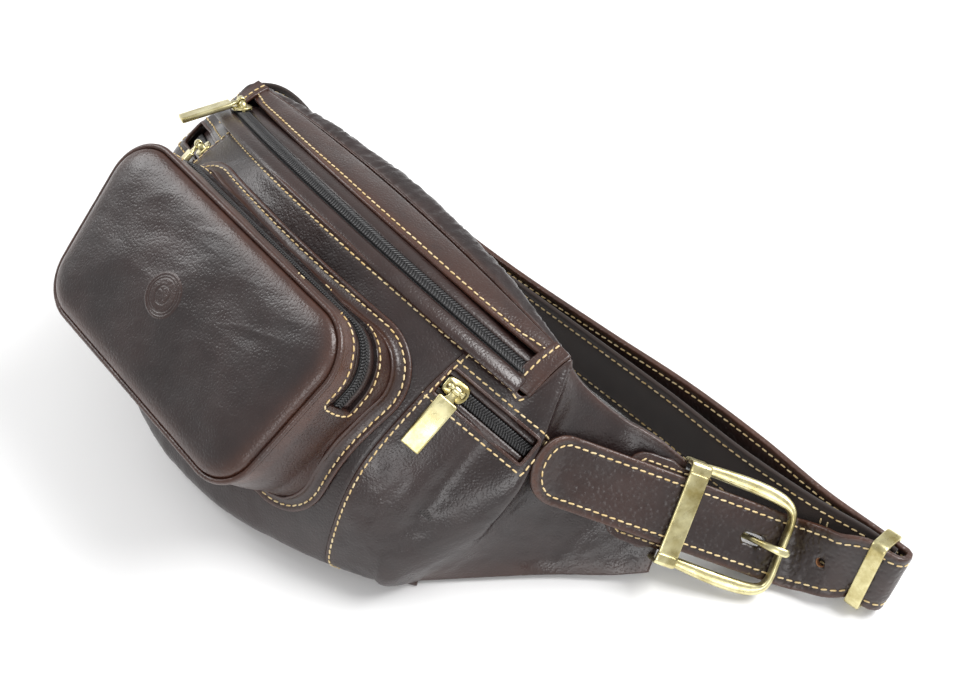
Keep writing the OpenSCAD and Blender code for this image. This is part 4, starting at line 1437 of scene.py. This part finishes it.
ALONG = buckle_turn(vec(1, 0, 0))
ACROSS = buckle_turn(vec(0, 1, 0))
OUTWARD = buckle_turn(vec(0, 0, 1))
FAR_UP = (0, sin(radians(FAR_LEAN)), cos(radians(FAR_LEAN)))


def on_strap(x, lift=0.0):
    return BUCKLE_AT + x * ALONG + lift * OUTWARD


def in_keeper(dx, y):
    """A place among the belt's layers in the far keeper, which lean back all together."""
    return (FAR_X + dx, y, FAR_Z - (y - FAR_MID_Y) * np.tan(radians(FAR_LEAN)))


# The belt's route beyond the buckle as (centre, direction across)
TONGUE = [
    ((BODY_HALF + 108, 155, 16.5), (-0.22, 0.56, 0.8)),
    ((BODY_HALF + 119, 158.4, FAR_Z), (-0.08, 0.44, 0.9)),
    (in_keeper(-6, 164.6), FAR_UP), (in_keeper(2, 166.6), FAR_UP),
    (in_keeper(6.6, 168.6), FAR_UP), (in_keeper(8, 172.6), FAR_UP),
    (in_keeper(6, 176.2), FAR_UP), (in_keeper(1, 175.9), FAR_UP),
    (in_keeper(-10, 174.6), FAR_UP),
    ((FAR_X - 40, 173, EDGE_Z + 1.4), (0, 0.28, 0.96)),
    ((FAR_X - 80, 174.6, EDGE_Z), (0, 0.2, 0.98)),
    ((FAR_X - 125, 171.8, EDGE_Z), (0, 0.16, 0.99)),
    ((FAR_X - 175, 165, EDGE_Z), (0, 0.12, 0.99)),
    ((FAR_X - 235, 157.5, EDGE_Z), (0, 0.1, 0.99)),
    ((FAR_X - 290, 153.5, EDGE_Z), (0, 0.1, 0.99)),
]
BACK_BELT = [
    (in_keeper(2, 171.2), FAR_UP), (in_keeper(-12, 169.6), FAR_UP),
    ((FAR_X - 40, 166, EDGE_Z + 1.6), (0, 0.28, 0.96)),
    ((FAR_X - 80, 162.8, EDGE_Z), (0, 0.2, 0.98)),
    ((FAR_X - 125, 161, EDGE_Z), (0, 0.16, 0.99)),
    ((FAR_X - 175, 157.2, EDGE_Z), (0, 0.12, 0.99)),
    ((FAR_X - 235, 152, EDGE_Z), (0, 0.1, 0.99)),
    ((FAR_X - 290, 148, EDGE_Z), (0, 0.1, 0.99)),
    ((-BODY_HALF + 30, 145, EDGE_Z), (0, 0.1, 0.99)),
    ((-BODY_HALF - 20, 147, EDGE_Z), (0, 0.1, 0.99)),
    ((-BODY_HALF - 46, 149, EDGE_Z), (0.06, 0.1, 0.98)),
    ((-BODY_HALF - 60, 145, EDGE_Z + 1), (0.12, 0.24, 0.95)),
    ((-BODY_HALF - 68, 136, EDGE_Z + 3), (0.2, 0.42, 0.88)),
    ((-BODY_HALF - 70, 125, EDGE_Z + 7), (0.26, 0.58, 0.76)),
    ((-BODY_HALF - 66, 116, EDGE_Z + 12), (0.29, 0.68, 0.68)),
    ((-BODY_HALF - 57, 109, EDGE_Z + 17.5), (0.29, 0.7, 0.65)),
]
TIP_ROUND = 17.5
TIP_POWER = 2.0
STITCH_INSET = 3.9


class Belt:
    """A strap along a smooth line, with frames along it and a stitched, softly edged section."""

    def __init__(self, stations, thickness, straight=(), tip=False, step=2.2, seed=0.0):
        centres = np.array([c for c, _ in stations], float)
        across = np.array([a for _, a in stations], float)
        run = np.concatenate([[0], np.cumsum(np.linalg.norm(np.diff(centres, axis=0), axis=1))])
        if len(straight):
            join = np.array([on_strap(x, lift) for x, lift in straight])
            centres = np.vstack([join, centres])
            across = np.vstack([np.tile(ACROSS, (len(join), 1)), across])
            run = np.concatenate([[0], np.cumsum(np.linalg.norm(np.diff(centres, axis=0), axis=1))])
        ts = np.linspace(0, 1, 900)
        fine = curve_at(centres, ts)
        fine_across = curve_at(across, ts)
        length = np.concatenate([[0], np.cumsum(np.linalg.norm(np.diff(fine, axis=0), axis=1))])
        self.length = length[-1]
        start = np.concatenate([[0.06, 0.3, 0.8, 1.6, 2.6], np.arange(4, 18, 1.2)]) if tip else [0.0]
        at = np.concatenate([start, np.linspace(18 if tip else step, self.length,
                                                int((self.length - 18) / step))])
        self.at = at
        self.centre = lay(np.stack([np.interp(at, length, fine[:, k]) for k in range(3)], 1))
        self.across = unit(np.stack([np.interp(at, length, fine_across[:, k]) for k in range(3)], 1))
        self.along = unit(np.gradient(self.centre, axis=0))
        self.normal = unit(np.cross(self.along, self.across))
        self.across = unit(np.cross(self.normal, self.along))
        self.thickness, self.tip, self.seed = thickness, tip, seed

    def half_width(self, at):
        half = STRAP_W / 2
        if not self.tip:
            return np.full(np.shape(at), half)
        d = np.clip(1 - np.asarray(at, float) / TIP_ROUND, 0, 1)
        return half * (1 - d**TIP_POWER) ** (1 / TIP_POWER)

    def edge_distance(self, at, y):
        half = STRAP_W / 2
        if not self.tip:
            return half - np.abs(y)
        x = np.clip(TIP_ROUND - np.asarray(at, float), 0, None)
        return half - (x**TIP_POWER + np.abs(y) ** TIP_POWER) ** (1 / TIP_POWER)

    def shape(self):
        half = self.half_width(self.at)[:, None]
        a = vec(-1, -0.985, -0.95, -0.88, -0.82, -0.757, -0.70, -0.6, -0.45, -0.25, 0)
        a = np.concatenate([a, -a[-2::-1]])[None]
        y = half * a
        inset = np.minimum(self.edge_distance(self.at[:, None], y), half)
        body = self.thickness / 2
        soft = np.clip(inset / 0.9, 0, 1)
        height = body * (0.52 + 0.48 * np.sqrt(np.clip(1 - (1 - soft) ** 2, 0, 1)))
        height = height - 0.34 * np.exp(-(((inset - STITCH_INSET) / 0.75) ** 2))
        height = height + 0.12 * smooth(STITCH_INSET, STITCH_INSET + 4, inset)
        spots = self.centre[:, None] + self.across[:, None] * y[..., None]
        wave = lumps(spots, 14, 2, self.seed) * 0.22 + lumps(spots, 4.2, 2, self.seed + 3) * 0.10
        wave = wave * smooth(0.3, 2.5, inset)
        top = spots + self.normal[:, None] * (height + wave)[..., None]
        low = spots - self.normal[:, None] * (height - wave * 0.6)[..., None]
        g = np.concatenate([top, low[:, ::-1]], 1)
        warm = 0.75 * np.exp(-((inset / 1.6) ** 2))
        n, m = g.shape[:2]
        faces = grid_faces(n, m, wrap_m=True)
        faces += [list(range(m)), list(range((n - 1) * m, n * m))[::-1]]
        return Shape().add(g, faces, np.concatenate([warm, warm[:, ::-1]], 1))

    def point(self, at, y, z):
        def pick(v):
            return np.stack([np.interp(at, self.at, v[:, k]) for k in range(3)], -1)

        y = np.asarray(y, float)[..., None]
        z = np.asarray(z, float)[..., None]
        return pick(self.centre) + pick(self.across) * y + pick(self.normal) * z

    def stitch(self, shape, start=None, stop=None):
        """Rows of stitches near both edges, and round the tip, on both faces."""
        stop = self.length - 3 if stop is None else stop
        reach_in = STRAP_W / 2 - STITCH_INSET
        if self.tip:
            t = np.linspace(-pi / 2, pi / 2, 40)
            c, s = np.cos(t), np.sin(t)
            x = TIP_ROUND - reach_in * np.abs(c) ** (2 / TIP_POWER)
            y = reach_in * np.sign(s) * np.abs(s) ** (2 / TIP_POWER)
            run = np.linspace(TIP_ROUND + 1, stop, 300)
            at = np.concatenate([run[::-1], x, run])
            y = np.concatenate([np.full(300, -reach_in), y, np.full(300, reach_in)])
            rows = [(at, y)]
        else:
            run = np.linspace(start or 2, stop, 400)
            rows = [(run, np.full(400, s * reach_in)) for s in (-1, 1)]
        for at, y in rows:
            for face in (-1, 1):
                z = face * (self.thickness / 2 - 0.26)
                line = self.point(at, y, np.full(len(at), z))
                normal = self.point(at, y, np.full(len(at), z + face)) - line
                stitches(line, normal, shape, pitch=4.0, lift=0.22)
        return shape


# Places along the straight run under the buckle, with the tip's lift where it lies on the wing
RUN = ((-TIP_REACH, 9.0), (-66, 4.4), (-58, 1.0), (-48, 0), (-25, 0), (0, 0), (25, 0), (BUCKLE_LEN + 3, 0))
tongue = Belt(TONGUE, STRAP_T, straight=RUN, tip=True, seed=81)
back_belt = Belt(BACK_BELT, BACK_STRAP_T, seed=91)


def next_hole():
    """The distance from the tip to the middle of the next hole beyond the one in use."""
    gap = np.linalg.norm(tongue.centre - lay(on_strap(HOLE_AT)), axis=1)
    return tongue.at[np.argmin(gap)] + HOLE_PITCH


def hole_place(at):
    """A cutter or lining point along, across and out of the belt at a hole."""
    origin = tongue.point(at, 0, 0)
    ahead = unit(tongue.point(at + 1, 0, 0) - origin)
    across = unit(tongue.point(at, 1, 0) - origin)
    out = unit(np.cross(ahead, across))
    return lambda p: origin + p[..., :1] * ahead + p[..., 1:2] * across + p[..., 2:] * out


def build_tongue():
    strap = make("belt_tongue_leather", tongue.shape(), grained, ["tongue_strap"])
    around = np.linspace(0, 2 * pi, 33)[:-1]
    slot_line = np.stack([HOLE_AT - 1.5 + 3 * np.sign(np.cos(around))
                          * (np.abs(np.cos(around)) > 0.3) + (HOLE_R + 0.6) * np.cos(around),
                          (HOLE_R + 0.6) * np.sin(around), 0 * around], 1)
    g = np.stack([slot_line + vec(0, 0, z) for z in (-6, 6)])
    n = len(slot_line)
    faces = grid_faces(2, n, wrap_m=True) + [list(range(n))[::-1], [n + k for k in range(n)]]
    cut(strap, Shape().add(buckle_place(g), faces))
    edges = Shape()
    place = hole_place(next_hole())
    circle = np.stack([HOLE_R * np.cos(around), HOLE_R * np.sin(around), 0 * around], 1)
    g = np.stack([circle + vec(0, 0, z) for z in (-5, 5)])
    cut(strap, Shape().add(place(g), faces))
    rows = [(HOLE_R + 0.32, 1.36), (HOLE_R + 0.12, 1.58), (HOLE_R - 0.1, 1.4),
            (HOLE_R - 0.22, 0), (HOLE_R - 0.1, -1.4), (HOLE_R + 0.12, -1.58),
            (HOLE_R + 0.32, -1.36)]
    g = np.stack([np.stack([r * np.cos(around), r * np.sin(around), z + 0 * around], 1)
                  for r, z in rows])
    edges.add(place(g), grid_faces(len(rows), n, wrap_n=True, wrap_m=True))
    make("belt_hole_edges", edges, raw_edge)
    return strap


build_tongue()
make("belt_back_suede", back_belt.shape(), suede, ["back_strap"])


def build_far_keeper():
    turn_keeper = lambda p: lay(turn(turn(p, "x", 90 - FAR_LEAN), "z", 9)
                                + vec(FAR_X - 2, FAR_MID_Y, FAR_Z))
    w, h = FAR_OUTER[0] - KEEPER_T, FAR_OUTER[1] - KEEPER_T
    line = rounded_box_line(w, h, 1.9, 96)
    line = np.stack([0 * line[:, 0], line[:, 0], line[:, 1]], 1)
    _, across, normal = frames_along(line, vec(1, 0, 0), closed=True)
    profile = ring(KEEPER_T / 2, 3.6, 20, 0.42)
    return sweep(turn_keeper(line), turn_keeper(across) - turn_keeper(vec(0, 0, 0)),
                 turn_keeper(normal) - turn_keeper(vec(0, 0, 0)), profile, closed=True)


make("far_keeper_brass", build_far_keeper(), brass, ["far_keeper"], sharp=50)

# ---------- buckle ----------
FRAME_HALF = 22.0
HEEL_X = 3.0
HEEL_Z = -STRAP_T / 2 - HEEL_R - 0.2 - LEATHER - 0.4
BAR = 2.4
TOE_Z = STRAP_T / 2 + BAR + 0.8
KEEPER_HALF = 24.5
KEEPER_IN = STRAP_T / 2 + 0.9


def put_buckle(shape, other, warm=0.0):
    shape.add(buckle_place(other.all_points()), other.faces, np.concatenate(other.warm) + warm)
    return shape


def build_frame():
    """The buckle's flattened side bars and thin toe bar, in one bent piece."""
    half_path = np.array([
        (2.0, FRAME_HALF - 0.2, HEEL_Z + 0.4), (9, FRAME_HALF + 0.2, -4.2), (18, FRAME_HALF + 0.5, -2.2),
        (27, FRAME_HALF + 0.6, -0.4), (36, FRAME_HALF + 0.1, 1.9), (42, FRAME_HALF - 1.0, 3.4),
        (45.6, FRAME_HALF - 2.9, 4.2), (47.3, FRAME_HALF - 5.8, 4.7), (BUCKLE_LEN, FRAME_HALF - 10, 4.9),
        (BUCKLE_LEN, 6, 4.9), (BUCKLE_LEN, 0, 4.9)])
    wide = [2.3, 2.6, 2.95, 3.15, 3.1, 2.8, 2.2, 1.7, 1.5, 1.5, 1.5]
    high = [2.3, 2.3, 2.35, 2.4, 2.45, 2.6, 2.85, 3.0, 3.0, 3.0, 2.9]
    ts = np.linspace(0, 1, 90)
    path = curve_at(half_path, ts)
    size = curve_at(np.stack([wide, high], 1), ts)
    path = np.vstack([path, (path * vec(1, -1, 1))[-2::-1]])
    size = np.vstack([size, size[-2::-1]])
    _, across, normal = frames_along(path, (0, 0, 1))
    profile = ring(1, 1, 24, 0.78)[None] * size[:, None]
    bar = sweep(path, across, normal, profile)
    dark = np.zeros(profile.shape[:2])
    dark[:, 15:22] = 0.55
    bar.warm = [dark.ravel()]
    return put_buckle(Shape(), bar)


def build_keeper():
    """The buckle's keeper: a brass band folded down at both ends."""
    top = KEEPER_IN + KEEPER_T / 2
    y = KEEPER_HALF - KEEPER_T / 2
    line = [(0, -y, HEEL_Z - 1.2), (0, -y, -2)]
    line += [(0, -y + 1.3 - 1.3 * cos(a), top - 1.3 + 1.3 * sin(a)) for a in np.linspace(0, pi / 2, 7)]
    line += [(0, v, top - 0.28 * (abs(abs(v) - 19.3) < 0.5)) for v in np.linspace(-21, 21, 85)]
    line += [(0, y - 1.3 + 1.3 * sin(a), top - 1.3 + 1.3 * cos(a)) for a in np.linspace(0, pi / 2, 7)]
    line += [(0, y, -2), (0, y, HEEL_Z - 1.2)]
    line = np.array(line, float)
    across = np.broadcast_to(vec(1, 0, 0), line.shape)
    along = unit(np.gradient(line, axis=0))
    normal = unit(np.cross(along, across))
    end = smooth(18.8, 19.8, np.abs(line[:, 1]))
    wide = KEEPER_W / 2 * (1 + 0.05 * end)
    thick = KEEPER_T / 2 * (1 + 0.14 * end)
    profile = ring(1, 1, 24, 0.36)[None] * np.stack([wide, thick], 1)[:, None]
    band = sweep(line, across, normal, profile)
    fold = np.exp(-(((np.abs(line[:, 1]) - 19.3) / 0.7) ** 2)) * 0.9
    band.warm = [np.repeat(fold, 24)]
    return put_buckle(Shape(), band)


frame_shape = build_frame()
keeper_shape = build_keeper()
frame_shape.add(keeper_shape.all_points(), keeper_shape.faces, np.concatenate(keeper_shape.warm))
make("buckle_frame_brass", frame_shape, brass, ["buckle_frame"], "buckle_body", 50)

heel_line = stack(HEEL_X, np.linspace(-FRAME_HALF - 0.6, FRAME_HALF + 0.6, 12), HEEL_Z)
make("heel_bar_brass", put_buckle(Shape(), tube(heel_line, HEEL_R, 20)), brass,
     ["heel_bar"], "buckle_body", 60)


def build_prong():
    under = -STRAP_T / 2 - 1.5 - 1.7
    path = curve_at([(HEEL_X + 2.6, 0, HEEL_Z + 0.2), (14, 0, HEEL_Z + 0.9), (HOLE_AT - 9, 0, under - 0.3),
                     (HOLE_AT - 4.5, 0, under + 0.6), (HOLE_AT - 0.5, 0, 0.6), (HOLE_AT + 3.6, 0, TOE_Z + 1.2),
                     (HOLE_AT + 7.5, 0, TOE_Z + 3.9), (BUCKLE_LEN + 0.4, 0, TOE_Z + BAR + 2.0),
                     (BUCKLE_LEN + 2.4, 0, TOE_Z + BAR + 1.5)], np.linspace(0, 1, 60))
    along = unit(np.gradient(path, axis=0))
    across = np.broadcast_to(vec(0, 1, 0), path.shape)
    normal = unit(np.cross(along, across))
    s = np.linspace(0, 1, 60)
    wide = mix(1.45, 2.0, smooth(0.55, 0.85, s)) * np.where(s > 0.96, 0.82, 1.0)
    wide[-1] *= 0.45
    thick = mix(1.45, 1.2, smooth(0.5, 0.9, s))
    thick[-1] *= 0.5
    profile = ring(1, 1, 18, 0.8)[None] * np.stack([wide, thick], 1)[:, None]
    pin = sweep(path, across, normal, profile)
    a = np.linspace(0, 2 * pi, 33)[:-1]
    eye = stack(HEEL_X + 2.75 * np.cos(a), 0, HEEL_Z + 2.75 * np.sin(a))
    _, across, normal = frames_along(eye, unit(eye - vec(HEEL_X, 0, HEEL_Z)), closed=True)
    loop = sweep(eye, across, normal, ring(2.8, 0.7, 14, 0.5), closed=True)
    return put_buckle(put_buckle(Shape(), pin, 0.1), loop, 0.3)


make("prong_brass", build_prong(), brass, ["prong"], "prong_body", 50)


def build_tab():
    """The leather tab that wraps the heel bar and is sewn to the wing's tip."""
    half = 20.5
    r = HEEL_R + 0.2 + LEATHER / 2
    upper = HEEL_Z + r
    profile = [(-31, upper), (-24, upper), (-14, upper), (-5, upper), (0, upper)]
    profile += [(HEEL_X + r * sin(a), HEEL_Z + r * cos(a)) for a in np.linspace(0, pi * 0.98, 15)]
    profile = curve_at([(x, 0, z) for x, z in profile], np.linspace(0, 1, 70))
    ys = np.concatenate([np.linspace(-half, -half + 6, 9), np.linspace(-half + 6, half - 6, 21)[1:-1],
                         np.linspace(half - 6, half, 9)])
    g = np.zeros((len(profile), len(ys), 3))
    for j, y in enumerate(ys):
        corner = max(abs(y) - (half - 9), 0)
        back = 9 - np.sqrt(max(81 - corner**2, 0))
        x = profile[:, 0] + back * smooth(-10, -31, profile[:, 0])
        narrow = mix(18.4 / half, 1, smooth(-5, -13, profile[:, 0]))
        g[:, j] = stack(x, y * narrow, profile[:, 2] + LEATHER / 2)
    along = unit(np.gradient(profile, axis=0))
    normal = np.cross(along, vec(0, 1, 0))
    normal = normal if normal[0, 2] > 0 else -normal
    g = g + normal[:, None] * LEATHER / 2 - vec(0, 0, LEATHER / 2)
    out = np.broadcast_to(normal[:, None], g.shape)
    g = g + out * (lumps(g, 12, 2, 101.0) * 0.15)[..., None]
    g = buckle_place(g)
    n = grid_normals(g)
    n = n if (n * buckle_turn(out)).sum() > 0 else -n
    shape = sheet(g, LEATHER, 0.35, n)
    edge = []
    for y in np.linspace(-half + 3.4, half - 3.4, 30):
        corner = max(abs(y) - (half - 9), 0)
        edge.append((-31 + 3.4 + 9 - np.sqrt(81 - min(corner * 1.25, 8.9) ** 2), y, upper + LEATHER / 2))
    line = [(x, -half + 3.4, upper + LEATHER / 2) for x in np.linspace(-2, -20, 12)] + edge
    line += [(x, half - 3.4, upper + LEATHER / 2) for x in np.linspace(-20, -2, 12)]
    return shape, buckle_place(np.array(line))


tab_shape, tab_line = build_tab()
make("buckle_tab_leather", tab_shape, leather, ["tab_right"])


# ---------- sewing ----------
def sew(name, rows):
    """One mesh of stitches: each row is a line on a surface, its normals and whether it closes."""
    shape = Shape()
    for points, normals, closed in rows:
        stitches(points, normals, shape, closed)
    return shape


def drape(tree, points, direction, closed=False):
    spots, normals = on_surface(tree, points, direction)
    return spots, normals, closed


def panel_rows():
    """Stitch rows on the body that are the same on both sides or lie on the middle."""
    xs = np.linspace(-SEAM_X + 1, SEAM_X - 1, 110)
    front = front_grid(xs, np.array([0.03]))[:, 0]
    toward = -unit(FRONTWARD + UPWARD * 0.7)
    rows = [drape(front_tree, front, toward)]
    xs = np.linspace(-113, 113, 140)
    band = lean(mix(back_top(xs), zip_back(xs), 0.865))
    rows.append(drape(band_tree, band, -UPWARD))
    return rows


def side_rows():
    """Stitch rows on the right side panel and wing."""
    toward = -unit(FRONTWARD + UPWARD * 0.7)
    top = side_grid(np.linspace(0.01, 0.29, 24), np.array([0.03]))[:, 0]
    rows = [drape(side_tree, top, toward)]
    seam = side_grid(np.array([0.022]), np.linspace(0.02, 0.97, 60))[0]
    rows.append(drape(side_tree, seam, -unit(FRONTWARD + vec(0.3, 0, 0))))
    line = side_local(rounded_box_line(SIDE_WINDOW[0] + 6.4, SIDE_WINDOW[1] + 6.4, 1.2, 150))
    rows.append(drape(side_tree, line, -SIDE_OUT, True))
    end = []
    for s in np.linspace(0.02, 0.98, 24):
        p = mix(back_top(114.2), front_top(114.2), s)
        end.append(p + vec(0, -0.55, 0.83) * 4)
    rows.append(drape(end_tree, lean(np.array(end)), -unit(UPWARD + FRONTWARD)))
    return rows


def pocket_rows():
    steps = zip_track()
    out = pocket_out()[steps]
    rows = []
    for y in (WINDOW_Y[0] - 2.4, WINDOW_Y[1] + 2.4):
        line = track_line(steps, y, 2)
        spots, normals = [], []
        for p, o in zip(line, out):
            s, n = on_surface(gusset_tree, [p], -o)
            spots.append(s[0])
            normals.append(n[0])
        rows.append((np.array(spots), np.array(normals), False))
    for end in (0, -1):
        a, b = rows[0][0][end], rows[1][0][end]
        t = np.linspace(0, 1, 12)[:, None]
        shift = unit(rows[0][0][end] - rows[0][0][end + (1 if end == 0 else -1)]) * 3.0
        line = mix(a, b, t) + shift * np.sin(pi * np.clip(t * 1.0, 0, 1)) ** 0.4
        spots, normals = on_surface(gusset_tree, line, -out[end])
        rows.append((spots, normals, False))
    spots, normals = flange_ring(4.9, 1.5)
    rows.append((spots, normals, True))
    return rows


body_stitches = sew("body", panel_rows())
make("body_stitches", body_stitches, thread)
side_stitches = sew("side", side_rows())
make("side_stitches_r", side_stitches, thread)
make("side_stitches_l", side_stitches.mirrored(), thread)
make("pocket_stitches", sew("pocket", pocket_rows()), thread)
belt_stitches = tongue.stitch(Shape())
make("tongue_stitches", belt_stitches, thread)
back_stitches = back_belt.stitch(Shape())
for at in (30.0, 33.5, back_belt.length - 6, back_belt.length - 10):
    ys = np.linspace(-9.5, 9.5, 20)
    for face in (-1, 1):
        z = np.full(20, face * (BACK_STRAP_T / 2 + 0.05))
        cross = back_belt.point(np.full(20, at), ys, z)
        normal = back_belt.point(np.full(20, at), ys, z + face) - cross
        stitches(cross, normal, back_stitches, pitch=4.0)
make("back_belt_stitches", back_stitches, thread)
make("tab_stitches", sew("tab", [(tab_line, OUTWARD, False)]), thread)


# ---------- inside ----------
def inner_sheet(g, thickness, hint, depth, seed):
    out = facing(g, hint)
    g = g - out * depth
    g = g + out * (lumps(g, 22, 2, seed) * 0.3)[..., None]
    return sheet(g, thickness, 0.0, out)


make("front_lining_cloth",
     inner_sheet(front_grid(np.linspace(-84, 84, 50), np.linspace(0.08, 0.9, 40)), 0.8,
                 FRONTWARD, LEATHER + GAP, 111.0), lining_cloth, ["front_lining"])
foam = make("back_foam_pad",
            inner_sheet(back_grid(np.linspace(-106, 106, 50), np.linspace(0.18, 0.81, 40)), 2.5,
                        -FRONTWARD, LEATHER + GAP, 113.0), lining_cloth, ["back_foam"])
half_w = BODY_HALF - 35
divider_grid = lean(np.array([[(x, -16 - 0.4, z) for z in np.linspace(8, 116, 40)]
                              for x in np.linspace(-half_w, half_w, 50)]))
make("divider_cloth", inner_sheet(divider_grid, 0.8, FRONTWARD, 0.0, 115.0), lining_cloth,
     ["divider"])
pouch_grid = side_local(np.array([[(x, y, -6.8 - 1.1 * cos(pi * (y + 24) / 52))
                                   for y in np.linspace(-50, 2, 30)]
                                  for x in np.linspace(-24, 12, 24)]))
pouch = inner_sheet(pouch_grid, 2.2, SIDE_OUT, 0.0, 117.0)
make("side_pouch_cloth_r", pouch, lining_cloth, ["side_pouch_r"])
make("side_pouch_cloth_l", pouch.mirrored(), lining_cloth, ["side_pouch_l"])
